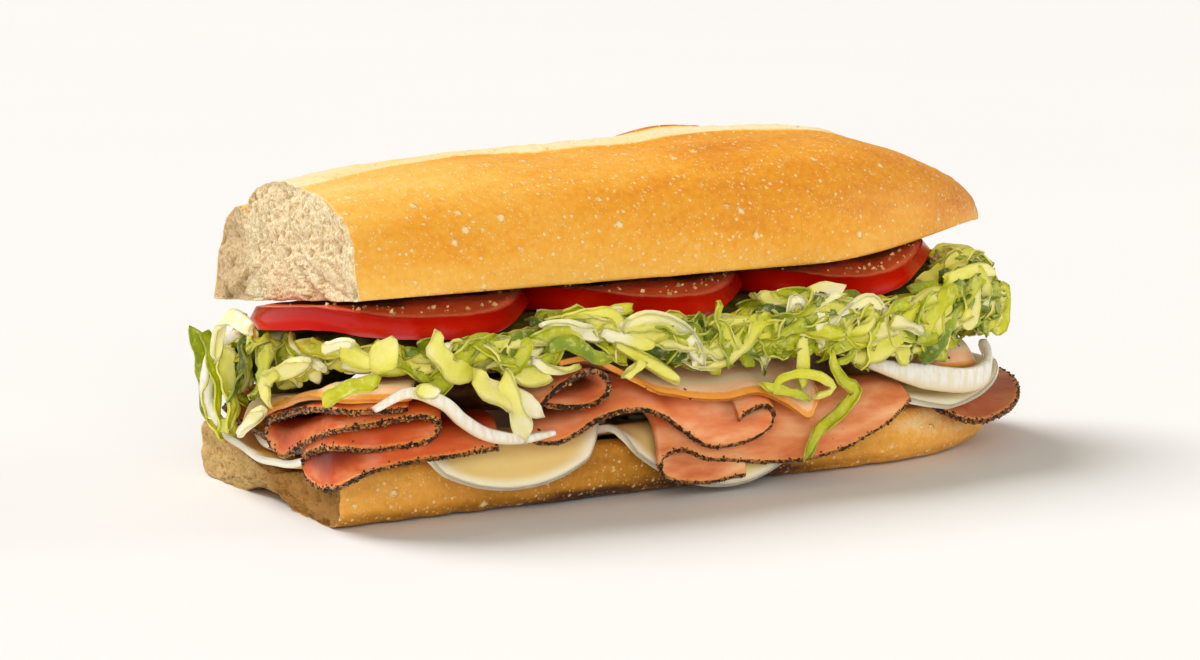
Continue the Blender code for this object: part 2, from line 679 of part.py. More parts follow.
# Onion strips, as points (x, y, z) along their middles
ONION_FRONT = [
    (-97, -50.2, 28.5), (-89, -50.6, 31.4), (-81, -50.6, 28.6), (-76, -50.6, 24.2), (-70, -50.6, 20.6),
    (-62, -50.8, 19.0), (-54, -50.8, 19.6),
]
ONION_RIGHT = [
    (34, -43, 26.5), (45, -44, 23.2), (56, -44.2, 20.8), (64, -42.8, 20.0), (71, -38.6, 20.8), (76, -32.5, 23.4),
    (77.5, -28.5, 25.6),
]
ONION_LEFT = [(-100.5, 12, 36.5), (-103, 17, 33.5), (-104, 21, 27), (-104, 22, 20), (-103.4, 16, 15.4)]

lid = make_lid(CRUST)
base = make_base(CRUST)
cheeses = [
    slice_of("cheese_1", (-78.0, -1.0), (34.0, 31.5), LAYER_ONE, CHEESE_THICK, CHEESE),
    slice_of("cheese_2", (-60.0, -3.0), (39.0, 42.5), LAYER_TWO, CHEESE_THICK, CHEESE),
    slice_of("cheese_3", (-5.0, -6.0), (37.5, 44.2), LAYER_ONE + 0.3, CHEESE_THICK, CHEESE, columns=32),
    slice_of("cheese_4", (48.5, -4.0), (41.0, 34.5), LAYER_TWO, CHEESE_THICK, CHEESE),
]
meats = [
    slice_of("ham_heel", (66.0, -4.0), (31.0, 35.5), LAYER_ONE, MEAT_THICK, HAM),
    slice_of("ham_left", (-80.0, 2.0), (26.0, 32.0), LAYER_THREE, MEAT_THICK, HAM, cut=-99.5, columns=20),
    make_right_ham(HAM),
    corner_fold("ham_corner", CORNER_RIM, 44, HAM),
    corner_fold("ham_corner_rind", CORNER_RIND, 16, RIND_HAM),
    fold("ham_front", FRONT_RIM, 42, HAM, WALL_Y - 0.9),
    fold("ham_low", LOW_RIM, 32, HAM, LOW_WALL_Y),
    fold("ham_upper_rind", UPPER_RIM, 18, RIND_HAM, WALL_Y - 0.9),
]
onions = [
    strand("onion_1", ONION_FRONT, 3.0, ONION_THICK, ONION, 14),
    strand("onion_2", ONION_RIGHT, 6.0, ONION_THICK, ONION, 12),
    strand("onion_3", ONION_LEFT, 4.5, ONION_THICK, ONION, 12, np.array([-1.0, 0.0, 0.0])),
]
tomatoes = [
    make_tomato("tomato_1", (-74.5, -13.8), 29.3, TOMATO, 1),
    make_tomato("tomato_2", (-16.6, -14.5), 27.6, TOMATO, 2),
    make_tomato("tomato_3", (38.0, -16.5), 24.8, TOMATO, 3),
]
fixed = [tree_of(o) for o in [lid, base, *cheeses, *meats, *onions, *tomatoes]]
make_lettuce(LEAF, fixed)
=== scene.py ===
"""Submarine sandwich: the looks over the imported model.

The frame is the model's: +Z up, +X from the cut end to the heel, -Y the open front, z = 0 the table. Shapes
are worked out in millimetres, and piece() turns them into metres. The functions under "The shapes that the
pieces lie on" match the solids.
"""

import itertools
import json
import math
import random
from collections import namedtuple

import bpy
import numpy as np
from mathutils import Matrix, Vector
from mathutils.bvhtree import BVHTree

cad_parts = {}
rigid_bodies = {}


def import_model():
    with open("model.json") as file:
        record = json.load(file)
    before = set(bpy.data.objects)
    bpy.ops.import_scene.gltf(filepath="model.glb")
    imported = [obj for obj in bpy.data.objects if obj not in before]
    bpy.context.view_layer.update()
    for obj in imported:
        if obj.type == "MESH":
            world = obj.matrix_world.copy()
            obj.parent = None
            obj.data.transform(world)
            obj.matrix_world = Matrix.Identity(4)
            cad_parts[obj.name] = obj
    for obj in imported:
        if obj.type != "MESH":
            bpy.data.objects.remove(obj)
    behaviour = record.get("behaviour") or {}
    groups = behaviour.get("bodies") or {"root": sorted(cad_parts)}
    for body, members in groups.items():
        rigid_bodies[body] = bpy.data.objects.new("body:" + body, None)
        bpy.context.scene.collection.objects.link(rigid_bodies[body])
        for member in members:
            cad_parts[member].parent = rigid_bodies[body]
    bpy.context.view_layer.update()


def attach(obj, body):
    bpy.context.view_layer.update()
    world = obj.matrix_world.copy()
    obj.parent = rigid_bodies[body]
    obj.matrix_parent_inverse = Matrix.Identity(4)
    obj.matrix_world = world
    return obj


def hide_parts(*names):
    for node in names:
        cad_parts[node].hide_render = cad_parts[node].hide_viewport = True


MM = 0.001

# The camera that fits the photo's outlines
CAMERA_AZIMUTH = -30.0
CAMERA_ELEVATION = 9.0
CAMERA_DISTANCE = 800.0
CAMERA_AIM = (-13.0, 0.0, 32.0)
CAMERA_LENS = 101.8
SENSOR_WIDTH = 36.0

WORLD_STRENGTH = 0.34
WORLD_COLOUR = (1.0, 0.9, 0.76, 1.0)
# Each light: the way it comes from, over how many degrees it is spread, its strength and its colour
LIGHTS = {
    "key": ((-0.45, 0.65, 1.0), 36, 2.8, (1.0, 0.98, 0.95)),
    "fill": ((-0.4, -1.0, 0.32), 50, 1.55, (1.0, 0.95, 0.86)),
    "side": ((1.0, -0.35, 0.3), 30, 0.6, (1.0, 0.97, 0.92)),
}
FLOOR_HALF = 4.0
FLOOR_TONES = ((0.835, 0.845, 0.872, 1), (0.86, 0.87, 0.898, 1))

# The base half of the roll
BASE_CUT_X = -99.0
BASE_TOP_Z = 14.0
BASE_DISH = 5.5
MID_Y = -1.0
SHOULDER_Y = 34.0
HEEL_X = 40.0
HEEL_LENGTH = 50.0
BASE_ROUND = 2.9
BASE_SETTLE = 0.8
BASE_ARCH = 2.4
BASE_ARCH_WIDTH = 10.0

# The lid
LID_CUT_X = -95.0
LID_TIP_X = 95.0
LID_MID_Y = -1.0
LID_HALF_WIDTH = 38.0
LID_TAPER_X = 22.0
STRIPE_FRONT_Y = -8.5
STRIPE_BACK_Y = 6.5
STRIPE_SWELL = 1.5
LIP_RISE = 0.45
EAR_RISE = 3.0
LID_FRONT_Z = 50.0
LID_BACK_Z = 40.5
LID_LIFT = 6.7
LID_LIFT_FROM_X = 20.0
LID_LIFT_TO_X = 88.0
DOME_POWER = 2.25
DOME_BACK_POWER = 2.7
# Height of the crust's ridge over the lid's sliced face: (x, height)
RIDGE = [
    (-95, 25.2), (-80, 27.3), (-57, 29.4), (-35, 30.0), (-15, 30.6), (5, 31.8), (22, 32.0), (40, 29.8),
    (55, 24.6), (70, 17.6), (84, 10.2), (92, 4.2), (95, 0.4),
]

# Fillings
BEND_RADIUS = 4.0
BEND_LIMIT = math.radians(78)
HEEL_SPLAY = math.radians(64)
EDGE_FLARE = 1.3
CHEESE_THICK = 1.7
MEAT_THICK = 1.2
TOMATO_THICK = 5.0
TOMATO_DROOP = 4.6
ONION_THICK = 2.2
WALL_Y = -47.5
LOW_WALL_Y = -45.8
WALL_X = -102.0
WALL_CORNER = 9.0
LAYER_ONE = 1.35
LAYER_TWO = 3.95
LAYER_THREE = 6.2
BACK_SQUEEZE = 0.8
TURN_WEIGHTS = (1.0, 1.0, 8.0)
RIM_REACH = 12.0
FOLD_BACK_Y = 37.0
# The corner's folds run this share of the way to this place
CORNER_MIDDLE = np.array([-58.0, -2.0])
CORNER_REACH = 0.7
# From the rim inwards, how fully a fold follows what it lies on: (share of the way, how fully)
CORNER_PULLS = [(0, 0), (0.03, 0.45), (0.07, 0.8), (0.15, 0.97), (0.4, 1), (0.7, 1), (1, 1)]
HEAP_MIDDLE = np.array([-2.0, -3.8])
HEAP_HALF = np.array([95.0, 41.0])
HEAP_HEEL_SHORT = 6.0
HEAP_CUT_POWER = 6.0
HEAP_HEEL_POWER = 3.2
# How far shreds near the heel lie back from the wall, and the way back that keeps their place in the picture
HEEL_SETBACK = 16.0
SIGHT_ACROSS = np.array([0.577, 1.0])
HEEL_DRAW_IN = 3.6
# How many of the shreds lie on the heap's top
TOP_SHARE = 0.16
# Past this u, round the corner, the shreds lie in the cut end
CUT_END_BACK_U = -153.0


def smooth(t):
    """0 to 1 with no corner at either end."""
    t = np.clip(t, 0.0, 1.0)
    return t * t * (3 - 2 * t)


def full_turn(count):
    """count angles, evenly round a circle."""
    return 2 * np.pi * np.arange(count) / count


def spline(points, count, weights=1.0):
    """count points on a smooth curve through the given ones, evenly spaced by its weighted coordinates."""
    p = np.array(points, float)
    p = np.vstack([2 * p[0] - p[1], p, 2 * p[-1] - p[-2]])
    fine = []
    for a, b, c, d in zip(p, p[1:], p[2:], p[3:]):
        for t in np.linspace(0, 1, 24, endpoint=False):
            slope = (c - a) * t + (2 * a - 5 * b + 4 * c - d) * t**2 + (3 * b - a - 3 * c + d) * t**3
            fine.append(b + 0.5 * slope)
    fine.append(p[-2])
    fine = np.array(fine)
    run = np.r_[0, np.cumsum(np.linalg.norm(np.diff(fine, axis=0) * weights, axis=1))]
    at = np.linspace(0, run[-1], count)
    return np.stack([np.interp(at, run, fine[:, k]) for k in range(fine.shape[1])], 1)


# Noise that is the same each run


def hashed(cell, seed):
    """A repeatable number from 0 to 1 for each whole-number cell."""
    c = cell.astype(np.int64)
    mixed = (c[..., 0] * 73856093) ^ (c[..., 1] * 19349663) ^ (c[..., 2] * 83492791) ^ (seed * 6542989)
    mixed = (mixed ^ (mixed >> 13)) & 0x7FFFFFFF
    mixed = (mixed * 1274126177) & 0x7FFFFFFFFFFF
    return ((mixed ^ (mixed >> 16)) & 0xFFFFF) / 0xFFFFF


def rough(p, size, seed=0, octaves=3):
    """Smooth noise of about -1 to 1 with bumps of this size, in millimetres."""
    total = 0.0
    for k in range(octaves):
        q = np.asarray(p) / (np.asarray(size) / 2**k) + 17.3 * k
        cell = np.floor(q)
        f = q - cell
        f = f * f * (3 - 2 * f)
        value = 0.0
        for corner in itertools.product((0, 1), repeat=3):
            share = np.prod(np.where(corner, f, 1 - f), axis=-1)
            value = value + share * hashed(cell + corner, seed + k)
        total = total + (2 * value - 1) * 0.5**k
    return total


def cells(p, size, seed=0):
    """How far each point is from the nearest scattered centre, in units of size, and that centre's number."""
    q = np.asarray(p) / size
    cell = np.floor(q)
    nearest = np.full(q.shape[:-1], 9.0)
    number = np.zeros(q.shape[:-1])
    for step in itertools.product((-1, 0, 1), repeat=3):
        c = cell + step
        centre = c + np.stack([hashed(c, seed + k) for k in range(3)], -1)
        far = np.linalg.norm(q - centre, axis=-1)
        number = np.where(far < nearest, hashed(c, seed + 3), number)
        nearest = np.minimum(nearest, far)
    return nearest, number


# Materials


NOISE_ROUGHNESS = 0.55


def srgb(*bytes_):
    """A linear colour from sRGB bytes."""
    linear = [((b / 255 + 0.055) / 1.055) ** 2.4 if b > 10 else b / 255 / 12.92 for b in bytes_]
    return (*linear, 1.0)


class Look:
    """A Principled material and the nodes that feed it."""

    def __init__(self, name, **sockets):
        self.material = bpy.data.materials.new(name)
        self.material.use_nodes = True
        self.tree = self.material.node_tree
        self.shader = self.tree.nodes["Principled BSDF"]
        for key, value in sockets.items():
            self.shader.inputs[key.replace("_", " ")].default_value = value
        self.place = self.node("ShaderNodeTexCoord").outputs["Object"]

    def node(self, kind, inputs=None, **settings):
        made = self.tree.nodes.new(kind)
        for key, value in settings.items():
            setattr(made, key, value)
        for key, value in (inputs or {}).items():
            self.put(made.inputs[key], value)
        return made

    def put(self, socket, value):
        if isinstance(value, bpy.types.NodeSocket):
            self.tree.links.new(value, socket)
        else:
            socket.default_value = value

    def feed(self, name, value):
        self.put(self.shader.inputs[name], value)

    def math(self, what, *values):
        return self.node("ShaderNodeMath", dict(enumerate(values)), operation=what).outputs[0]

    def times(self, a, b):
        return self.math("MULTIPLY", a, b)

    def sway(self, value, amount):
        """A value of 0 to 1 as a swing round 0, this wide from end to end."""
        return self.times(self.math("SUBTRACT", value, 0.5), amount)

    def mark(self, name):
        """A number that the mesh holds for each of its points."""
        return self.node("ShaderNodeAttribute", attribute_name=name).outputs["Fac"]

    def stretched(self, scale):
        return self.node("ShaderNodeMapping", {"Vector": self.place, "Scale": scale}).outputs[0]

    def noise(self, size, detail, place=None):
        """Noise from 0 to 1 with features of this size, in millimetres."""
        settings = {"Scale": 1 / (size * MM), "Detail": detail, "Roughness": NOISE_ROUGHNESS}
        return self.node("ShaderNodeTexNoise", {"Vector": place or self.place, **settings}).outputs["Fac"]

    def cells(self, size):
        """Distance from the nearest scattered centre, about this far apart, and a random number for each."""
        made = self.node("ShaderNodeTexVoronoi", {"Vector": self.place, "Scale": 1 / (size * MM)})
        apart = self.node("ShaderNodeSeparateColor", {0: made.outputs["Color"]})
        return made.outputs["Distance"], apart.outputs[0]

    def between(self, value, low, high):
        """value from low to high turned into 0 to 1, with smooth ends."""
        inputs = {"Value": value, "From Min": low, "From Max": high}
        return self.node("ShaderNodeMapRange", inputs, interpolation_type="SMOOTHSTEP").outputs[0]

    def mix(self, share, a, b, how="MIX"):
        return self.node("ShaderNodeMix", {0: share, 6: a, 7: b}, data_type="RGBA", blend_type=how).outputs[2]

    def ramp(self, value, stops):
        made = self.node("ShaderNodeValToRGB", {0: value})
        ramp = made.color_ramp
        while len(ramp.elements) < len(stops):
            ramp.elements.new(0.5)
        for element, (at, colour) in zip(ramp.elements, stops):
            element.position = at
            element.color = colour
        return made.outputs[0]

    def bump(self, height, depth):
        """Relief of this depth in millimetres, over what bump there is."""
        inputs = {"Height": height, "Distance": depth * MM, "Strength": 1.0}
        normal = self.shader.inputs["Normal"]
        if normal.is_linked:
            inputs["Normal"] = normal.links[0].from_socket
        self.put(normal, self.node("ShaderNodeBump", inputs).outputs[0])


# Meshes


def piece(name, points, faces, look, slot=None, replaces=(), smooth_faces=True, **marks):
    """A named object that rides on the body, from points in millimetres. marks are one number a point."""
    mesh = bpy.data.meshes.new(name)
    mesh.from_pydata((np.asarray(points) * MM).tolist(), [], faces)
    mesh.materials.append(look.material)
    for key, values in marks.items():
        made = mesh.attributes.new(key, "FLOAT", "POINT")
        made.data.foreach_set("value", np.asarray(values, np.float32).ravel())
    if smooth_faces:
        mesh.shade_smooth()
    obj = bpy.data.objects.new(name, mesh)
    bpy.context.scene.collection.objects.link(obj)
    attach(obj, "root")
    if replaces:
        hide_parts(*replaces)
    return obj


def quads(rows, columns, wrap, start=0):
    """Quads between rows of points, wrapped round or not."""
    i, j = np.meshgrid(np.arange(rows - 1), np.arange(columns if wrap else columns - 1), indexing="ij")
    a = start + i * columns + j
    b = start + i * columns + (j + 1) % columns
    return np.stack([a, b, b + columns, a + columns], -1).reshape(-1, 4).tolist()


def sheet_mesh(grid, thick, wrap=False):
    """Points, faces and each point's grid place, of a thin solid with a rounded rim round mid-surface points.

    A wrapped grid is a disc, with its middle as first row. thick is a number or one a grid point."""
    grid = np.asarray(grid, float)
    rows, columns = grid.shape[:2]
    down = np.gradient(grid, axis=0)
    across = np.roll(grid, -1, axis=1) - np.roll(grid, 1, axis=1) if wrap else np.gradient(grid, axis=1)
    normal = np.cross(down, across)
    if wrap:
        normal[0] = normal[1].mean(0)
    normal /= np.linalg.norm(normal, axis=2, keepdims=True) + 1e-12
    half = np.broadcast_to(np.asarray(thick, float), (rows, columns))[..., None] / 2
    places = np.arange(rows * columns).reshape(rows, columns)
    if wrap:
        kept = np.r_[0, places[1:].ravel()]
        edge = 1 + (rows - 2) * columns + np.arange(columns)
        outward = grid[-1] - grid[-2]
    else:
        kept = places.ravel()
        edge = np.r_[places[0], places[1:, -1], places[-1, -2::-1], places[-2:0:-1, 0]]
        rim = grid.reshape(-1, 3)[edge]
        inner = places[np.clip(edge // columns, 1, rows - 2), np.clip(edge % columns, 1, columns - 2)]
        outward = rim - grid.reshape(-1, 3)[inner]
    outward = outward / (np.linalg.norm(outward, axis=1, keepdims=True) + 1e-12)
    flat, up, size = grid.reshape(-1, 3)[kept], normal.reshape(-1, 3)[kept], half.reshape(-1, 1)[kept]
    count = len(kept)
    lip = flat[edge] + outward * size[edge] * 0.6
    points = np.vstack([flat + up * size, flat - up * size, lip])
    faces = []
    for side, turn in ((0, 1), (count, -1)):
        body = quads(rows - 1, columns, True, side + 1) if wrap else quads(rows, columns, False, side)
        faces += [f[::turn] for f in body]
        if wrap:
            faces += [(side, side + 1 + j, side + 1 + (j + 1) % columns)[::turn] for j in range(columns)]
    ring = list(range(len(edge)))
    for k, after in zip(ring, ring[1:] + ring[:1]):
        a, b, c, d = int(edge[k]), int(edge[after]), 2 * count + k, 2 * count + after
        first, second = (a, c, d, b), (c, a + count, b + count, d)
        if wrap:
            faces += [first, second]
        else:
            faces += [first[::-1], second[::-1]]
    return points, faces, np.r_[kept, kept, kept[edge]]


def sheet_piece(name, grid, thick, look, wrap=False, marks=None, **more):
    """A sheet_mesh as a piece. marks have the grid's shape."""
    points, faces, spots = sheet_mesh(grid, thick, wrap)
    spread = {key: np.asarray(v, float).ravel()[spots] for key, v in (marks or {}).items()}
    obj = piece(name, points, faces, look, **spread, **more)
    obj.data.validate()
    return obj


# The shapes that the pieces lie on


def reach(x, y):
    """0 along the middle of the base half, 1 at its shoulder."""
    return np.hypot(np.maximum(0.0, x - HEEL_X) / HEEL_LENGTH, (y - MID_Y) / SHOULDER_Y)


def base_top(x, y):
    """Height of the base half's sliced face."""
    return BASE_TOP_Z - BASE_DISH * (1 - np.minimum(1.0, reach(x, y)) ** 2)


def stack(x, y, n):
    """Height of a layer n above the sliced face, squeezed towards the back."""
    squeeze = 1 - (1 - BACK_SQUEEZE) * smooth((y + 20) / 53)
    return base_top(x, y) + np.minimum(n, 4.8) + np.maximum(0.0, n - 4.8) * squeeze


def drape(p, q, n):
    """Where a slice lies: p along and q across the roll, n above the base half, bent down past its shoulder."""
    spot = np.stack([p, q], -1)
    far_out = np.maximum(1.0, reach(p, q))[..., None]
    root = np.stack([np.minimum(p, HEEL_X), np.full_like(p, MID_Y)], -1)
    inner = root + (spot - root) / far_out
    away = spot - inner
    far = np.linalg.norm(away, axis=-1)
    away = away / (far[..., None] + 1e-12)
    z = base_top(inner[..., 0], inner[..., 1])
    limit = BEND_LIMIT - HEEL_SPLAY * away[..., 0] ** 2
    angle = np.minimum(limit, far / BEND_RADIUS)
    rest = far - angle * BEND_RADIUS
    flat = (BEND_RADIUS + n) * np.sin(angle) + rest * np.cos(limit)
    drop = BEND_RADIUS - (BEND_RADIUS + n) * np.cos(angle) + rest * np.sin(limit)
    plan = inner + away * flat[..., None]
    return np.stack([plan[..., 0], plan[..., 1], z - drop], -1)


def on_wall(u):
    """The plan point at u along the front of the filling, which turns the corner into the cut end."""
    corner_u = WALL_X + WALL_CORNER
    turn = WALL_CORNER * math.pi / 2
    if u >= corner_u:
        return np.array([u, WALL_Y])
    centre = np.array([corner_u, WALL_Y + WALL_CORNER])
    if u >= corner_u - turn:
        a = (corner_u - u) / WALL_CORNER
        return centre - WALL_CORNER * np.array([math.sin(a), math.cos(a)])
    return np.array([WALL_X, centre[1] + (corner_u - turn - u)])


def lid_face(x, y):
    """Height of the lid's flat sliced face."""
    slope = (LID_BACK_Z - LID_FRONT_Z) / (2 * LID_HALF_WIDTH)
    lift = LID_LIFT * smooth((x - LID_LIFT_FROM_X) / (LID_LIFT_TO_X - LID_LIFT_FROM_X))
    return LID_FRONT_Z + slope * (y - LID_MID_Y + LID_HALF_WIDTH) + lift


def slash(x, y):
    """Relief of the cut in the crust, and how far its torn stripe shows there.

    The stripe runs along the ridge, swells a little, and turns into a deep notch at the cut end."""
    open_end = smooth((-60 - x) / 32)
    notch = np.exp(-(((y - LID_MID_Y - 4 - 17 * open_end) / (3.2 - 0.9 * open_end)) ** 2))
    front = STRIPE_FRONT_Y + 1.1 * np.sin(x / 11) + 0.7 * np.sin(x / 4.3) + 9.0 * smooth((x - 30) / 40)
    back = STRIPE_BACK_Y + 9 * open_end - 3.0 * smooth((x - 12) / 30)
    share = np.clip((y - front) / np.maximum(1.0, back - front), 0, 1)
    ends = smooth((66 - x) / 24)
    swell = STRIPE_SWELL * np.sin(np.pi * share) ** 0.6
    lip = LIP_RISE * np.exp(-(((y - front + 1.0) / 1.1) ** 2))
    ear = EAR_RISE * np.exp(-(((x - 8) / 15) ** 2)) * np.exp(-(((y - back - 1.5) / 3.2) ** 2))
    stripe = smooth((y - front) / 0.8) * smooth((back - y) / 1.2) * ends
    return (swell + lip + ear - 7.5 * open_end * notch) * ends, stripe


def tomato_mid(x, y):
    """Middle height of a tomato slice, hanging towards the front."""
    hang = np.where(np.asarray(y) > -46, smooth((-22 - y) / 24), 1.0)
    return lid_face(x, y) - 3.3 - TOMATO_DROOP * hang * hang


def heap_floor(x, y):
    heel = 5.0 * smooth((x - 20) / 14)
    behind_folds = 10.0 * smooth((-66 - x) / 12) * smooth((y - 8) / 10)
    return stack(x, y, 20.6 - heel - behind_folds)


def heap_roof(x, y):
    heel = 1.3 * smooth((x - 22) / 10) + 5.5 * smooth((x - 68) / 14)
    return tomato_mid(x, y) - TOMATO_THICK / 2 - 0.9 - heel


def heap_edge(a):
    """The lettuce core's outline at angle a round its middle, squarer at the cut end than at the heel."""
    c, s = np.cos(a), np.sin(a)
    power = HEAP_HEEL_POWER + (HEAP_CUT_POWER - HEAP_HEEL_POWER) * smooth(0.5 - c)
    size = (np.abs(c) ** power + np.abs(s) ** power) ** (-1 / power)
    bump = 1 + 0.012 * np.sin(9 * a + 1) + 0.01 * np.sin(17 * a)
    long = np.where(c > 0, HEAP_HALF[0] - HEAP_HEEL_SHORT, HEAP_HALF[0])
    half = np.stack([long * c, HEAP_HALF[1] * s], -1)
    return HEAP_MIDDLE + half * (size * bump)[..., None]


# Bread


LID_BAKES = [
    (0.0, srgb(246, 232, 190)), (0.2, srgb(248, 214, 134)), (0.4, srgb(244, 190, 84)),
    (0.6, srgb(236, 162, 44)), (0.78, srgb(216, 130, 26)), (1.0, srgb(140, 66, 12)),
]
# How each half's crumb is tinted: the base's darker, warmer tint is painted shade on its sliced face under the
# fillings.
LID_CRUMB = (1.0, 1.0, 1.0, 1.0)
BASE_CRUMB_SHADE = (0.88, 0.8, 0.56, 1.0)
# The crust's pale flecks: about how far apart, the share of places left bare, and how much they cover
FLECKS = ((0.8, 0.55, 0.5), (1.5, 0.74, 0.7), (3.2, 0.88, 0.8))
# The base's crust ramp, darker than the lid's: painted shade where the fillings overhang its front.
BASE_BAKES_SHADED = [
    (0.0, srgb(246, 226, 180)), (0.25, srgb(242, 176, 76)), (0.5, srgb(212, 148, 52)),
    (0.68, srgb(178, 120, 30)), (0.84, srgb(112, 66, 20)), (1.0, srgb(62, 32, 10)),
]


def bread_look(name, bakes, crumb_shade):
    """Crust from cream to brown by its bake mark, which also carries painted light, and crumb where the crumb
    mark says so, with painted shade in its pores and on shaded parts of its sliced face.
    """
    look = Look(
        name, Roughness=0.5, Specular_IOR_Level=0.3,
        Subsurface_Weight=0.05, Subsurface_Scale=0.002, Subsurface_Radius=(1.0, 0.6, 0.3),
    )
    streaks = look.noise(11.0, 5.0, look.stretched((0.4, 1.0, 1.0)))
    shade = look.math("ADD", look.mark("bake"), look.sway(streaks, 0.36))
    shade = look.math("ADD", shade, look.sway(look.noise(1.6, 3.0), 0.3))
    crust = look.ramp(shade, bakes)
    wobble = look.sway(look.noise(0.8, 2.0), 0.4)
    for size, least, cover in FLECKS:
        far, number = look.cells(size)
        far = look.math("ADD", far, wobble)
        spot = look.times(look.between(far, 0.38, 0.16), look.between(number, least, least + 0.04))
        crust = look.mix(look.times(spot, cover), crust, srgb(252, 226, 166))
        look.bump(spot, 0.1 * size)
    ridges = look.math("ABSOLUTE", look.math("SUBTRACT", look.noise(1.1, 4.0), 0.5))
    crumb = look.ramp(look.noise(3.0, 5.0), [(0.3, srgb(206, 170, 108)), (0.65, srgb(238, 216, 168))])
    crumb = look.mix(look.between(ridges, 0.0, 0.1), srgb(250, 236, 202), crumb)
    # Painted shade: darker tan deep in the crumb's pores.
    crumb = look.mix(look.mark("pit"), crumb, srgb(168, 116, 54))
    # Painted shade: a darker tan where the sliced face lies in shade.
    tan = look.mix(look.noise(4.0, 4.0), srgb(150, 102, 42), srgb(190, 144, 78))
    crumb = look.mix(look.mark("tan"), crumb, tan)
    # The crumb's tint, which for the base half is painted shade.
    crumb = look.mix(1.0, crumb, crumb_shade, "MULTIPLY")
    inside = look.mark("crumb")
    look.feed("Base Color", look.mix(inside, crust, crumb))
    look.feed("Roughness", look.math("ADD", look.times(inside, 0.4), 0.46))
    look.bump(look.noise(0.7, 3.0), 0.14)
    look.bump(look.times(ridges, inside), 0.6)
    return look


def crumb_relief(p, seed):
    """How far a torn crumb face lies back at each point, in millimetres, and how deep in a pore it is, which
    sets the painted shade in the pores.
    """
    bent = p + 0.8 * np.stack([rough(p, 2.5, seed + k) for k in range(3)], -1)
    big, chosen = cells(bent, 3.4, seed)
    small, _ = cells(bent, 1.4, seed + 9)
    hole = smooth((0.5 - big) / 0.4) * smooth((chosen - 0.6) / 0.2)
    fine = smooth((0.5 - small) / 0.45)
    fluff = rough(bent, 1.3, seed + 30, 2)
    back = 1.3 * hole + 0.45 * fine + 0.7 * rough(p, 8.0, seed + 20, 2) + 0.28 * fluff
    return back, np.clip(0.6 * hole + 0.3 * fine + 0.25 * fluff - 0.05, 0, 1)


def capped(rings, cap_rows, seed, bulge):
    """Closed rings with a torn crumb cap's rows before them, the cap's middle, and each point's pore depth, for
    the painted shade in the pores.

    The cap goes from its middle outwards."""
    first = rings[0]
    middle = first.mean(0)
    shares = np.linspace(0, 1, cap_rows, endpoint=False)
    cap = middle + (first - middle) * shares[1:, None, None]
    back, pit = crumb_relief(cap, seed)
    edge = smooth((1 - shares[1:]) / 0.05)[:, None]
    cap[..., 0] += (back * (0.35 + 0.65 * edge)) - bulge * (1 - shares[1:, None] ** 2)
    centre = cap[0].mean(0)
    body = np.concatenate([cap, rings])
    pits = np.concatenate([pit, np.zeros(rings.shape[:2])])
    return body, centre, pits


def ringed(rings, first_middle, last_middle):
    """Points and faces of a closed solid, from rings of points and the middles of its two ends."""
    rows, columns = rings.shape[:2]
    points = np.vstack([rings.reshape(-1, 3), first_middle, last_middle])
    faces = quads(rows, columns, True)
    for j in range(columns):
        k = (j + 1) % columns
        faces.append((rows * columns, k, j))
        faces.append((rows * columns + 1, (rows - 1) * columns + j, (rows - 1) * columns + k))
    return points, faces


def over_cap(rows, value, marks):
    """A mark for a capped solid: one value over the cap's rows, then each ring's own."""
    return np.vstack([np.full((rows, marks.shape[1]), value), marks])


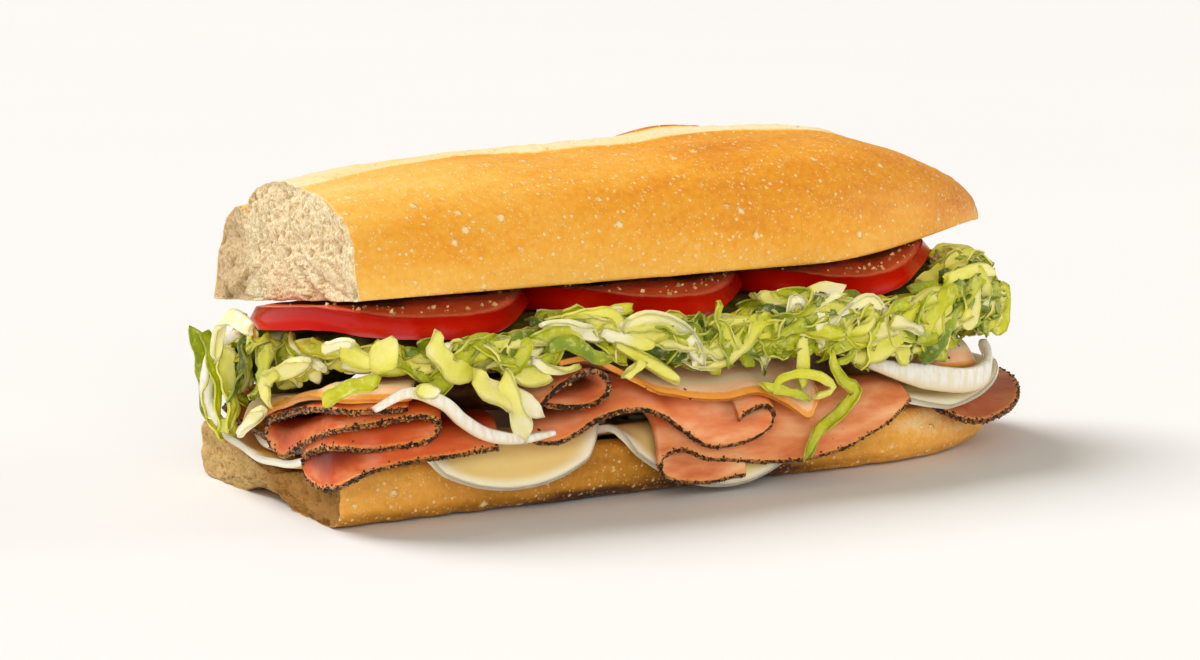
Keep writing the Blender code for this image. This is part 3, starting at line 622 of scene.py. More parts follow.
def make_lid(look):
    """The lid: rings across it, over its domed crust and back along its sliced face, at stations along it."""
    by_the_cut = np.linspace(LID_CUT_X, -88, 12)
    stations = np.r_[by_the_cut, np.linspace(-87.2, 80, 174), np.linspace(80.6, LID_TIP_X - 0.5, 34)]
    dome, under = 196, 64
    height = np.interp(stations, *spline(RIDGE, 80).T)
    r = np.maximum(0.0, (stations - LID_TAPER_X) / (LID_TIP_X - LID_TAPER_X))
    half = LID_HALF_WIDTH * (1 - r**2) ** 0.8
    a = np.pi * np.arange(dome + 1) / dome
    power = np.where(np.cos(a) < 0, DOME_BACK_POWER, DOME_POWER)
    over = -np.sign(np.cos(a)) * np.abs(np.cos(a)) ** (2 / power)
    rise = np.abs(np.sin(a)) ** (2 / power)
    flat = 1 - 2 * np.arange(1, under) / under
    y = LID_MID_Y + half[:, None] * np.r_[over, flat]
    rise = np.broadcast_to(np.r_[rise, np.zeros(under - 1)], y.shape)
    x = np.broadcast_to(stations[:, None], y.shape)
    cut, stripe = slash(x, y)
    z = lid_face(x, y) + (height[:, None] + cut) * rise
    rings = np.stack([x, y, z], -1)

    # Relief: soft dents and wrinkles on the crust, a torn stripe, and a sliced crumb face below
    is_under = np.zeros_like(y)
    is_under[:, dome + 1 :] = 1
    stripe = stripe * (1 - is_under)
    crust = (1 - stripe) * (1 - is_under)
    out = np.stack([np.zeros_like(y), (y - LID_MID_Y) / 40, rise + 0.2], -1)
    out /= np.linalg.norm(out, axis=-1, keepdims=True)
    lumps = 0.55 * rough(rings, (34, 18, 18), 1, 2) + 0.16 * rough(rings, (12, 3.5, 3.5), 5, 3)
    blister, chosen = cells(rings, 5.0, 8)
    lumps = lumps + 0.25 * smooth((0.4 - blister) / 0.3) * (chosen > 0.6)
    tear = 0.35 * rough(rings, (7, 1.6, 1.6), 4, 3)
    slice_back, slice_pit = crumb_relief(rings, 40)
    rings = rings + out * (crust * lumps + stripe * tear)[..., None]
    rings[..., 2] += is_under * 0.35 * slice_back
    ragged = smooth((LID_CUT_X + 4 - x) / 4)
    rings[..., 0] += ragged * (0.9 * rough(rings, 7.0, 12, 3) + 0.6 * smooth((y - 14) / 6))
    rear = smooth((y - 24) / 12) * smooth((LID_CUT_X + 30 - x) / 30)
    rings[..., 1] += 1.6 * rear

    body, centre, pits = capped(rings, 84, 60, 0.6)
    cap_rows = len(body) - len(rings)
    crumb = over_cap(cap_rows, 1, is_under)
    pits[cap_rows:] = is_under * slice_pit
    tone = lid_bake(body, over_cap(cap_rows, 1, rise), over_cap(cap_rows, 0, stripe))
    # Painted shade on the rear of the crumb at the cut end.
    tan = 0.42 * crumb * smooth((body[..., 1] - 14) / 10) * smooth((LID_CUT_X + 6 - body[..., 0]) / 4)
    marks = bread_marks(crumb=crumb, pit=pits, bake=tone, tan=tan)
    shape = ringed(body, centre, rings[-1].mean(0) + (0.4, 0, 0))
    return piece("top_bread_baked", *shape, look, "crust", ["top_bread"], **marks)


def bread_marks(**marks):
    """Each mark as a flat list, with values for the two end points."""
    return {key: np.r_[v.ravel(), v.ravel()[0], v.ravel()[-1]] for key, v in marks.items()}


def lid_bake(p, rise, stripe):
    """How dark the lid's crust is: baked pale at its lower rim and deep at the heel, with a painted highlight
    that makes it pale at the cut's upper edge.
    """
    x, y = p[..., 0], p[..., 1]
    tone = 0.58 + 0.09 * smooth((x + 30) / 90) + 0.09 * smooth((x - 50) / 40)
    # Painted highlight: paler along the top towards the cut end, where the light falls.
    tone = tone - 0.26 * smooth((-30 - x) / 60) * smooth(rise * 1.8 - 0.8)
    tone = tone - 0.15 * smooth((0.4 - rise) / 0.4)
    tone = tone + 0.3 * np.exp(-(((x - 8) / 18) ** 2)) * np.exp(-(((y - 9) / 3.5) ** 2))
    tone = tone * (1 - stripe) + 0.05 * stripe
    return np.clip(tone + 0.06 * rough(p, (26, 12, 12), 70), 0, 1)


def make_base(look):
    """The base half: rings over its sliced face, down its back, along its underside and up its front."""
    centre_z = BASE_TOP_Z - BASE_ROUND
    edge = [(BASE_ROUND - BEND_RADIUS, BASE_TOP_Z - BASE_SETTLE)]
    for a in (30, 62, 90):
        a = math.radians(a)
        edge.append((BASE_ROUND * math.sin(a), centre_z - BASE_SETTLE + BASE_ROUND * math.cos(a)))
    edge += [(BASE_ROUND + 0.5, 7.0), (BASE_ROUND - 0.2, 3.2), (0.8, 0.9), (-3.0, 0.0)]
    edge = spline(edge, 46)
    across, below = 60, 34
    stations = np.linspace(BASE_CUT_X, HEEL_X - 0.5, 160)
    angles = np.radians(np.r_[np.linspace(0, 84, 80), np.linspace(84.8, 89.95, 8)])
    straight = np.stack([stations, np.full_like(stations, MID_Y - SHOULDER_Y)], 1)
    oval = np.stack([HEEL_LENGTH * np.sin(angles), -SHOULDER_Y * np.cos(angles)], 1)
    front = np.vstack([straight, oval + (HEEL_X, MID_Y)])
    out = np.vstack([np.tile([0.0, -1.0], (len(stations), 1)), oval])
    out /= np.linalg.norm(out, axis=1, keepdims=True)
    back = front * (1, -1) + (0, 2 * MID_Y)
    out_back = out * (1, -1)
    turned = np.r_[np.zeros(len(stations)), np.degrees(angles)]
    rise = 4.0 * smooth((turned - 30) / 60)[:, None]

    f = np.linspace(0, 1, across + 2)[1:-1]
    plan = front[:, None] + (back - front)[:, None] * f[None, :, None]
    top = np.dstack([plan, base_top(plan[..., 0], plan[..., 1]) - BASE_SETTLE])
    sides = []
    for root, away, profile in ((back, out_back, edge), (front, out, edge[::-1])):
        plan = root[:, None] + away[:, None] * profile[None, :, 0:1]
        z = profile[None, :, 1] + rise * smooth((9 - profile[None, :, 1]) / 9)
        sides.append(np.dstack([plan, z]))
    low_back, low_front = back + out_back * edge[-1][0], front + out * edge[-1][0]
    f = np.linspace(0, 1, below + 2)[1:-1]
    plan = low_back[:, None] + (low_front - low_back)[:, None] * f[None, :, None]
    arch = BASE_ARCH * smooth((-62 - plan[..., 0]) / 36) * np.exp(-((plan[..., 1] / BASE_ARCH_WIDTH) ** 4))
    bottom = np.dstack([plan, arch + rise])
    rings = np.concatenate([top, sides[0], bottom, sides[1]], axis=1)

    # Relief: lumps on the crust, torn near the table, and a sliced crumb face on top
    is_top = np.zeros(rings.shape[:2])
    is_top[:, :across] = 1
    outward = np.zeros_like(rings)
    outward[:, across : across + len(edge), :2] = out_back[:, None]
    outward[:, -len(edge) :, :2] = out[:, None]
    height = rings[..., 2]
    lumps = 0.45 * rough(rings, (26, 26, 7), 21, 2) + 0.22 * rough(rings, (9, 9, 2.4), 22, 3)
    torn = smooth((4.2 - height) / 3) * (0.7 * rough(rings, (5, 5, 1.6), 23, 3) - 0.2)
    rings = rings + outward * (lumps + torn)[..., None]
    slice_back, slice_pit = crumb_relief(rings, 90)
    rings[..., 2] -= is_top * 0.3 * slice_back
    ragged = smooth((BASE_CUT_X + 4 - rings[..., 0]) / 4)
    rings[..., 0] += ragged * 0.9 * rough(rings, 6.0, 25, 3)

    body, centre, pits = capped(rings, 64, 110, 0.4)
    cap_rows = len(body) - len(rings)
    crumb = over_cap(cap_rows, 1, is_top)
    pits[cap_rows:] = is_top * slice_pit
    tone = 0.62 + 0.06 * smooth((9 - height) / 6) + 0.22 * smooth((4.2 - height) / 2.2)
    # Paler towards the heel, painted light where the side light falls on its crust, and paler towards the cut
    # end.
    tone = tone - 0.4 * smooth((rings[..., 0] - 4) / 44) - 0.24 * smooth((-44 - rings[..., 0]) / 40)
    tone = np.clip(tone + 0.12 * rough(rings, (20, 20, 5), 26), 0, 1)
    tone = over_cap(cap_rows, 0.3, tone)
    # Painted shade on the sliced face under the fillings, deeper towards the front.
    tan = crumb * (0.45 + 0.5 * smooth((12 - body[..., 1]) / 20))
    marks = bread_marks(crumb=crumb, pit=pits, bake=tone, tan=tan)
    shape = ringed(body, centre, rings[-1].mean(0) + (0.05, 0, 0))
    return piece("bottom_bread_baked", *shape, look, "crust", ["bottom_bread"], **marks)


# Cheese and ham slices


def slice_grid(centre, radii, n, cut, wave=0.0, seed=0):
    """A round slice draped over the base half, cut off at x = cut, and its points' shares outwards."""
    middle = np.array(centre)
    columns = 200
    a = full_turn(columns)
    rim = middle + np.stack([radii[0] * np.cos(a), radii[1] * np.sin(a)], -1)
    rim[:, 0] = np.maximum(cut, rim[:, 0])
    inside, outside = np.zeros(columns), np.ones(columns)
    for _ in range(20):
        share = (inside + outside) / 2
        spot = middle + (rim - middle) * share[:, None]
        held = reach(spot[:, 0], spot[:, 1]) < 1
        inside = np.where(held, share, inside)
        outside = np.where(held, outside, share)
    shoulder = np.minimum(0.9, inside)
    inner = np.linspace(0, 1, 8)[None, :-1] * shoulder[:, None]
    outer = shoulder[:, None] + (1 - shoulder[:, None]) * np.linspace(0, 1, 18)[None]
    shares = np.hstack([inner, outer]).T
    spots = middle + (rim - middle)[None] * shares[..., None]
    hanging = smooth((shares - shoulder) / (1 - shoulder + 1e-9)) * smooth((1 - shoulder) / 0.12)
    ripple = wave * hanging * (1 + np.sin(5 * a + seed) * 0.6 + np.sin(11 * a + 2 * seed) * 0.4)
    past = smooth((reach(rim[:, 0], rim[:, 1]) - 1) / 0.06)
    flare = EDGE_FLARE * past * smooth((shares - 1) / (1 - shoulder + 1e-9) * 2 + 1)
    return drape(spots[..., 0], spots[..., 1], n + ripple + flare), shares


def cheese_look(name, low, high):
    look = Look(
        name, Roughness=0.42, Specular_IOR_Level=0.4,
        Subsurface_Weight=0.35, Subsurface_Scale=0.004, Subsurface_Radius=(1.0, 0.75, 0.4),
    )
    tone = look.mix(look.noise(14.0, 3.0), low, high)
    rim = look.between(look.mark("rim"), 0.94, 1.0)
    look.feed("Base Color", look.mix(rim, tone, srgb(255, 248, 222)))
    look.bump(look.noise(6.0, 3.0), 0.15)
    look.bump(look.noise(0.8, 2.0), 0.03)
    return look


def ham_look(name, tones, rind=False, sparse=0.0, depth=0.95, fold_shade=1.0):
    """Cured meat, redder and darker further in, partly its own colour and partly painted shade, with painted
    shade inside its folds, and a rim of ground pepper or an orange rind.

    tones are its streaks', dark to pale. sparse thins the dark pepper, depth is how red and dark it gets
    further in, partly painted shade, and the last argument how dark the painted shade inside the folds is."""
    look = Look(
        name, Roughness=0.32, Specular_IOR_Level=0.36,
        Subsurface_Weight=0.18, Subsurface_Scale=0.003, Subsurface_Radius=(1.0, 0.3, 0.15),
    )
    streaks = look.noise(7.0, 5.0, look.stretched((0.5, 1.0, 1.6)))
    flesh = look.ramp(streaks, list(zip((0.25, 0.5, 0.75), tones)))
    far = look.mark("far")
    if rind:
        fat = look.times(look.between(far, 0.3, 0.38), look.between(far, 0.6, 0.5))
        flesh = look.mix(look.times(fat, 0.8), flesh, srgb(238, 216, 176))
    else:
        # Redder and darker further in from the rim: partly the meat's own colour, partly painted shade.
        flesh = look.mix(look.times(look.between(far, 0.1, 0.6), depth), flesh, srgb(150, 36, 6))
        # Painted shade: near black inside the folds, where a layer lies under another.
        inside = look.times(look.between(far, 0.15, 0.8), look.mark("under"))
        flesh = look.mix(look.times(inside, fold_shade), flesh, srgb(44, 8, 2))
    near, number = look.cells(4.5)
    speck = look.times(look.between(near, 0.13, 0.07), look.between(number, 0.6, 0.66))
    flesh = look.mix(speck, flesh, srgb(62, 34, 20))
    ragged = look.math("ADD", far, look.sway(look.noise(1.2, 3.0), 0.06))
    if rind:
        band = look.between(ragged, 0.15, 0.09)
        edge = look.mix(look.noise(3.0, 3.0), srgb(232, 132, 34), srgb(248, 180, 84))
    else:
        halo = look.times(look.between(ragged, 0.12, 0.05), 0.6)
        flesh = look.mix(halo, flesh, srgb(240, 158, 78))
        band = look.between(ragged, 0.055, 0.03)
        grain, dark = look.cells(0.75)
        share = 0.45 + 0.4 * sparse
        edge = look.mix(look.between(dark, share + 0.05, share - 0.05), srgb(176, 112, 60), srgb(52, 32, 18))
        look.bump(look.times(look.math("SUBTRACT", 1.0, grain), band), 0.35)
    look.feed("Base Color", look.mix(band, flesh, edge))
    look.bump(look.noise(1.6, 4.0), 0.08)
    return look


def fold_grid(rim, columns, wall_y):
    """A folded slice's mid-surface: from its rim, a curve of (x, z, n) along the front, to the back."""
    rim = spline(rim, columns, TURN_WEIGHTS)
    x, z, n = rim.T
    inner_y = MID_Y - SHOULDER_Y
    rows = []
    inner_z = stack(x, inner_y, n)
    hang = 1 - 0.6 * smooth((z - 13) / 5)
    bend_z = z + np.maximum(0.0, inner_z - z) * hang
    for t in np.linspace(0, 1, 20) ** 1.3:
        y = (1 - t) ** 2 * wall_y + 2 * t * (1 - t) * (wall_y + 0.8) + t**2 * inner_y
        height = (1 - t) ** 2 * z + 2 * t * (1 - t) * bend_z + t**2 * inner_z
        rows.append(np.stack([x, np.full_like(x, y), height], -1))
    for y in np.linspace(inner_y, FOLD_BACK_Y, 9)[1:]:
        rows.append(np.stack([x, np.full_like(x, y), stack(x, min(y, MID_Y + SHOULDER_Y), n)], -1))
    return np.array(rows)


def corner_grid(rim, columns):
    """A folded slice round the cut end's front corner, narrowing to its inner end."""
    rim = spline(rim, columns, TURN_WEIGHTS)
    start = np.array([on_wall(u) for u in rim[:, 0]])
    z, n = rim[:, 1], rim[:, 2]
    rows = []
    for t, pull in spline(CORNER_PULLS, 26, (3.0, 1.0)):
        spot = start + (CORNER_MIDDLE - start) * t * CORNER_REACH
        inside = stack(spot[:, 0], spot[:, 1], n)
        rows.append(np.column_stack([spot, z + (inside - z) * min(1.0, pull)]))
    return np.array(rows)


def under_itself(rim, columns):
    """How far each place along a folded rim lies under another of its layers, from 0 to 1, where the meat's
    look paints shade.
    """
    u, z = spline(rim, columns, TURN_WEIGHTS)[:, :2].T
    above = (np.abs(u[:, None] - u) < 0.8) & (z > z[:, None] + 1.5)
    share = above.any(1).astype(float)
    return np.convolve(np.pad(share, 6, mode="edge"), np.ones(13) / 13, "valid")


def from_rim(grid, wrap=False):
    """How far in from a sheet's outer rim each point lies, along the surface, from 0 to 1 at RIM_REACH."""
    run = np.cumsum(np.linalg.norm(np.diff(grid, axis=0), axis=-1), axis=0)
    run = np.vstack([np.zeros((1, grid.shape[1])), run])
    return np.clip((run[-1] - run if wrap else run) / RIM_REACH, 0, 1)


# Each slice's rim, the line of points next to it and its grains a millimetre, gathered by meat_slice
pepper_rims = []


def meat_slice(name, grid, look, slot, wrap=False, pepper=8.0, under=0.0):
    """A slice of meat with its rim and its folds' insides marked, the latter for painted shade, and so many
    pepper grains a millimetre.
    """
    grid = grid + 0.25 * rough(grid, 7.0, 33, 2)[..., None] * np.array([0.0, 0.5, 1.0])
    pepper_rims.append((grid[-1] if wrap else grid[0], grid[-2] if wrap else grid[1], pepper))
    marks = {"far": from_rim(grid, wrap), "under": np.broadcast_to(under, grid.shape[:2])}
    return sheet_piece(name + "_sliced", grid, MEAT_THICK, look, wrap, marks, slot=slot, replaces=[name])


# Each cheese slice: its middle, its radii along and across the roll, and how high it lies on the base half
CHEESES = (
    ((-78.0, -1.0), (34.0, 31.5), LAYER_ONE),
    ((-60.0, -3.0), (39.0, 42.5), LAYER_TWO),
    ((-5.0, -6.0), (37.5, 44.2), LAYER_ONE + 0.3),
    ((48.5, -4.0), (41.0, 34.5), LAYER_TWO),
)
CHEESE_CUT_X = WALL_X + 0.6
# The two flat ham slices, by the same measures and where they are cut off
HAM_HEEL = ((66.0, -4.0), (31.0, 35.5), LAYER_ONE, WALL_X)
HAM_LEFT = ((-80.0, 2.0), (26.0, 32.0), LAYER_THREE, -99.5)
# The humped one: its middle, radii, and height over the base half at shares of the way out
RIGHT_HAM_MIDDLE = (62.0, -10.5)
RIGHT_HAM_RADII = (17.0, 27.5)
RIGHT_HAM_PROFILE = [(0.0, 12.2), (0.45, 12.8), (0.72, 13.4), (0.88, 11.6), (1.0, 7.4)]
UPPER_WALL_Y = WALL_Y - 0.9

# The meat's streaks, dark to pale
RED_MEAT = (srgb(196, 66, 20), srgb(214, 96, 42), srgb(238, 152, 100))
ROSY_MEAT = (srgb(222, 100, 50), srgb(240, 146, 94), srgb(254, 198, 152))
PALE_MEAT = (srgb(200, 92, 42), srgb(232, 146, 92), srgb(250, 192, 142))
# The rind ham's: pale pink, lightened further as painted light where the lettuce shades it.
PALE_MEAT_PAINTED_LIT = (srgb(242, 168, 122), srgb(250, 198, 154), srgb(255, 222, 188))
BROWN_MEAT = (srgb(150, 72, 34), srgb(178, 96, 50), srgb(204, 130, 78))

# The folded slices' rims: (x, z, n) along the front, or (u, z, n) for the two round the corner
CORNER_RIM = [
    (-88, 27.2, 15.2), (-102, 27.0, 15.2), (-121, 24.6, 14.6), (-134, 20.6, 13.6), (-138, 19.2, 13.3),
    (-139.5, 17.0, 12.4), (-138, 14.6, 11.6), (-134.5, 13.3, 11.4), (-129, 13.2, 11.4), (-119, 17.6, 12.0),
    (-102, 23.2, 13.0), (-93, 24.8, 13.2), (-87, 25.2, 13.2), (-83.4, 24.9, 13.1), (-81.0, 23.8, 12.7),
    (-80.4, 22.3, 12.1), (-81.2, 20.7, 11.4), (-84.5, 19.5, 11.1), (-94.3, 19.0, 11.0), (-100.8, 19.2, 10.9),
    (-109.3, 18.0, 10.7), (-116.0, 16.0, 10.5), (-119.0, 14.4, 10.2), (-120.2, 12.4, 9.4), (-119.0, 10.5, 8.6),
    (-115.5, 9.5, 8.4), (-109.5, 9.2, 8.4), (-103.5, 10.6, 8.4), (-95.5, 14.6, 8.6), (-87, 15.8, 8.8),
    (-77.7, 15.8, 8.8), (-66, 16.6, 8.8),
]
CORNER_RIND = [
    (-152, 15.8, 14.8), (-141.9, 20.0, 15.7), (-121.8, 27.0, 17.2), (-103.3, 29.4, 17.8), (-87, 29.4, 17.8),
]
FRONT_RIM = [
    (-54.0, 25.0, 13.0), (-46.2, 23.8, 13.0), (-41.6, 24.5, 13.0), (-39.4, 26.0, 13.3), (-38.5, 28.1, 14.5),
    (-39.8, 30.6, 15.6), (-43.7, 31.8, 15.9), (-50.8, 29.2, 15.9), (-56.2, 24.8, 15.7), (-58.6, 22.6, 14.8),
    (-59.6, 20.4, 12.9), (-58.7, 18.4, 11.0), (-56.0, 17.1, 10.1), (-49.8, 16.8, 9.9), (-40.9, 20.7, 10.2),
    (-33.0, 22.2, 13.6), (-26.6, 20.9, 13.8), (-19.3, 15.9, 12.6), (-13.0, 12.2, 11.0), (-6.5, 11.6, 9.9),
    (-0.9, 12.8, 9.9), (2.4, 14.2, 9.9), (3.9, 15.5, 10.2), (4.5, 17.4, 11.0), (3.8, 19.0, 11.8),
    (1.8, 19.8, 12.1), (-2.6, 18.8, 12.1), (-4.8, 17.2, 12.1),
]
LOW_RIM = [
    (-1.5, 3.9, 5.75), (-11.3, 3.2, 5.75), (-17.1, 3.8, 5.75), (-21.2, 5.0, 5.75), (-23.2, 6.2, 6.0),
    (-24.0, 8.2, 6.8), (-23.2, 10.0, 7.6), (-21.2, 11.0, 7.8), (-17.6, 11.2, 7.8), (-12.0, 8.8, 7.8),
    (-3.9, 7.4, 7.8), (6.1, 6.2, 7.8), (16.8, 6.3, 7.8), (26.4, 7.8, 7.8), (36.0, 11.6, 7.8),
    (41.0, 14.6, 7.8), (44.0, 17.2, 7.8),
]
UPPER_RIM = [
    (-51.0, 34.4, 18.1), (-43.7, 34.8, 18.2), (-37.4, 32.0, 17.6), (-31.2, 28.6, 16.9), (-25.8, 25.6, 16.2),
    (-17.2, 23.4, 15.7), (-8.7, 22.6, 15.5), (0.1, 23.0, 15.6), (7.0, 20.4, 15.1), (13.5, 16.4, 14.2),
    (16.0, 18.6, 14.7), (16.8, 20.8, 15.1),
]


def right_ham_grid():
    """The soft slice under the heel's onion, humped up in its middle with its rim hanging."""
    a = full_turn(160)
    rows = []
    for r, n in spline(RIGHT_HAM_PROFILE, 26, (20.0, 1.0)):
        x = RIGHT_HAM_MIDDLE[0] + RIGHT_HAM_RADII[0] * r * np.cos(a)
        y = RIGHT_HAM_MIDDLE[1] + RIGHT_HAM_RADII[1] * r * np.sin(a)
        rows.append(np.stack([x, y, stack(x, y, n + 0.5 * np.sin(3 * a) * r)], -1))
    return np.array(rows)


def make_cheeses():
    soft = cheese_look("cheese_soft", srgb(240, 204, 126), srgb(248, 222, 154))
    # Cheese 1 gets a darker, warmer copy of the cheese: painted shade at the cut end.
    painted_shade_cheese = cheese_look("cheese_tanned", srgb(224, 160, 72), srgb(236, 182, 96))
    for number, (centre, radii, n) in enumerate(CHEESES, 1):
        grid, shares = slice_grid(centre, radii, n, CHEESE_CUT_X, 0.5, number)
        name = f"cheese_{number}"
        look = painted_shade_cheese if number == 1 else soft
        marks = {"rim": shares}
        sheet_piece(name + "_sliced", grid, CHEESE_THICK, look, True, marks, slot="cheese", replaces=[name])


def make_hams():
    red = ham_look("ham_peppered", RED_MEAT, fold_shade=0.6)
    rind = ham_look("ham_with_rind", PALE_MEAT_PAINTED_LIT, True)
    thin = ham_look("ham_lightly_peppered", ROSY_MEAT, sparse=0.6, depth=0.12, fold_shade=0.7)
    dull = ham_look("ham_brown", BROWN_MEAT, depth=0.4)
    broad = ham_look("ham_broad", PALE_MEAT, depth=0.12, fold_shade=0.4)
    meat_slice("ham_heel", slice_grid(*HAM_HEEL)[0], dull, "ham", True)
    meat_slice("ham_left", slice_grid(*HAM_LEFT)[0], red, "ham", True, 2.0)
    meat_slice("ham_right", right_ham_grid(), rind, "ham", True, 0.0)
    meat_slice("ham_corner_rind", corner_grid(CORNER_RIND, 90), rind, "rind_ham", pepper=0.0)
    meat_slice("ham_upper_rind", fold_grid(UPPER_RIM, 150, UPPER_WALL_Y), rind, "rind_ham", pepper=0.2)
    for name, rim, columns, grid, look, pepper in (
        ("ham_corner", CORNER_RIM, 330, corner_grid(CORNER_RIM, 330), red, 9.0),
        ("ham_front", FRONT_RIM, 300, fold_grid(FRONT_RIM, 300, UPPER_WALL_Y), thin, 4.5),
        ("ham_low", LOW_RIM, 200, fold_grid(LOW_RIM, 200, LOW_WALL_Y), broad, 7.0),
    ):
        meat_slice(name, grid, look, "ham", pepper=pepper, under=under_itself(rim, columns))


# Small scattered things


def joined(shapes):
    """Many small shapes' points, faces and marks as those of one mesh."""
    points, faces, marks = [], [], {}
    start = 0
    for own_points, own_faces, own_marks in shapes:
        points.append(own_points)
        faces += [tuple(start + i for i in face) for face in own_faces]
        for key, values in own_marks.items():
            marks.setdefault(key, []).append(values)
        start += len(own_points)
    return np.vstack(points), faces, {key: np.concatenate(values) for key, values in marks.items()}


def scatter(name, grains, look):
    """One piece from many grains."""
    points, faces, marks = joined(grains)
    return piece(name, points, faces, look, smooth_faces=False, **marks)


PEPPER_TONES = [
    (0.0, srgb(30, 18, 10)), (0.6, srgb(70, 46, 26)), (0.8, srgb(160, 116, 60)), (1.0, srgb(214, 166, 96)),
]
FLAKE_TONES = [(0.0, srgb(120, 84, 36)), (0.5, srgb(206, 168, 96)), (1.0, srgb(244, 222, 166))]
FLAKE_SIZES = (0.5, 0.7, 0.9, 1.5)
FLAKES_A_TOMATO = 34
GRAIN_POINTS = np.array([(1, 0, 0), (-1, 0, 0), (0, 1, 0), (0, -1, 0), (0, 0, 1), (0, 0, -1)], float)
GRAIN_FACES = [(0, 2, 4), (2, 1, 4), (1, 3, 4), (3, 0, 4), (2, 0, 5), (1, 2, 5), (3, 1, 5), (0, 3, 5)]


def grain(rng, spot, size):
    """An eight-sided crumb of ground spice: its points, faces and tone."""
    scale = np.array([rng.uniform(0.6, 1.3) for _ in range(3)]) * size / 2
    a, b = rng.uniform(0, 2 * math.pi), rng.uniform(0, 2 * math.pi)
    turn = np.array([[math.cos(a), -math.sin(a), 0], [math.sin(a), math.cos(a), 0], [0, 0, 1]])
    tip = np.array([[1, 0, 0], [0, math.cos(b), -math.sin(b)], [0, math.sin(b), math.cos(b)]])
    jitter = np.array([[rng.uniform(0.75, 1.2)] for _ in range(6)])
    tone = np.full(len(GRAIN_POINTS), rng.random())
    return (GRAIN_POINTS * jitter * scale) @ turn @ tip + spot, GRAIN_FACES, {"tone": tone}


def make_pepper():
    rng = random.Random(7)
    look = Look("ground_pepper", Roughness=0.7)
    look.feed("Base Color", look.ramp(look.mark("tone"), PEPPER_TONES))
    grains = []
    for rim, inner, density in pepper_rims:
        inward = inner - rim
        inward = inward / (np.linalg.norm(inward, axis=1, keepdims=True) + 1e-9)
        steps = np.linalg.norm(np.diff(rim, axis=0), axis=1)
        run = np.r_[0, np.cumsum(steps)]
        tangent = np.gradient(rim, axis=0)
        normal = np.cross(tangent, inward)
        normal = normal / (np.linalg.norm(normal, axis=1, keepdims=True) + 1e-9)
        for _ in range(int(run[-1] * density)):
            i = min(len(rim) - 2, int(np.searchsorted(run, rng.uniform(0, run[-1]))))
            f = rng.random()
            spot = rim[i] * (1 - f) + rim[i + 1] * f
            back = abs(rng.gauss(0, 0.5)) - 0.25
            up = rng.uniform(-0.5, 0.5) if back < 0.2 else rng.choice((-0.5, 0.5))
            spot = spot + inward[i] * back + normal[i] * up * (MEAT_THICK + 0.1)
            grains.append(grain(rng, spot, rng.uniform(0.35, 0.9)))
    scatter("pepper_grains", grains, look)


# Onion and tomato


# The onion strips' paths
ONION_FRONT = [
    (-97, -50.2, 28.5), (-89, -50.6, 31.4), (-81, -50.6, 28.6), (-76, -50.6, 24.2), (-70, -50.6, 20.6),
    (-62, -50.8, 19.0), (-54, -50.8, 19.6),
]
ONION_RIGHT = [
    (34, -43, 26.5), (45, -44, 23.2), (56, -44.2, 20.8), (64, -42.8, 20.0), (71, -38.6, 20.8),
    (76, -32.5, 23.4), (77.5, -28.5, 25.6),
]
ONION_LEFT = [(-100.5, 12, 36.5), (-103, 17, 33.5), (-104, 21, 27), (-104, 22, 20), (-103.4, 16, 15.4)]


def make_onion(name, path, width, look, facing=None):
    """A ring's strip: a rounded band along a path, with the ridges between its cells."""
    count, around = 110, 20
    path = spline(path, count)
    tangent = np.gradient(path, axis=0)
    tangent /= np.linalg.norm(tangent, axis=1, keepdims=True)
    side = np.cross(tangent, (0, 0, 1)) if facing is None else facing - tangent * (tangent @ facing)[:, None]
    side /= np.linalg.norm(side, axis=1, keepdims=True)
    lift = np.cross(side, tangent)
    i = np.arange(count)
    taper = 0.35 + 0.65 * np.minimum(1.0, 3.0 * np.minimum(i, count - 1 - i) / (count - 1) + 0.1)
    a = full_turn(around)
    c = np.sign(np.cos(a)) * np.abs(np.cos(a)) ** 0.6
    s = np.sign(np.sin(a)) * np.abs(np.sin(a)) ** 0.6
    ridge = 1 + 0.05 * np.sin(np.linspace(0, 60, count))[:, None] * np.abs(c)
    rings = path[:, None] + lift[:, None] * (taper[:, None] * width / 2 * s)[..., None]
    rings = rings + side[:, None] * (ONION_THICK / 2 * c * ridge)[..., None]
    shape = ringed(rings, rings[0].mean(0), rings[-1].mean(0))
    # Height across the band, which sets the painted shade on its lower edge.
    level = np.r_[np.tile(s, count), 0, 0]
    return piece(name + "_strip", *shape, look, "onion", [name], level=level)


def make_onions():
    look = Look(
        "onion_fresh", Roughness=0.25,
        Subsurface_Weight=0.6, Subsurface_Scale=0.006, Subsurface_Radius=(1.0, 0.95, 0.8),
    )
    lines = look.noise(1.2, 2.0, look.stretched((1.0, 1.0, 0.25)))
    tone = look.mix(look.between(lines, 0.35, 0.65), srgb(240, 230, 204), srgb(255, 253, 242))
    # Painted shade: darker and warmer along each strip's lower edge.
    tone = look.mix(look.between(look.mark("level"), 0.0, -1.0), tone, srgb(240, 216, 176))
    look.feed("Base Color", tone)
    look.bump(lines, 0.12)
    make_onion("onion_1", ONION_FRONT, 3.0, look)
    make_onion("onion_2", ONION_RIGHT, 6.0, look)
    make_onion("onion_3", ONION_LEFT, 4.5, look, np.array([-1.0, 0.0, 0.0]))


# Each tomato slice's x, y and radius
TOMATOES = ((-74.5, -13.8, 29.3), (-16.6, -14.5, 27.6), (38.0, -16.5, 24.8))


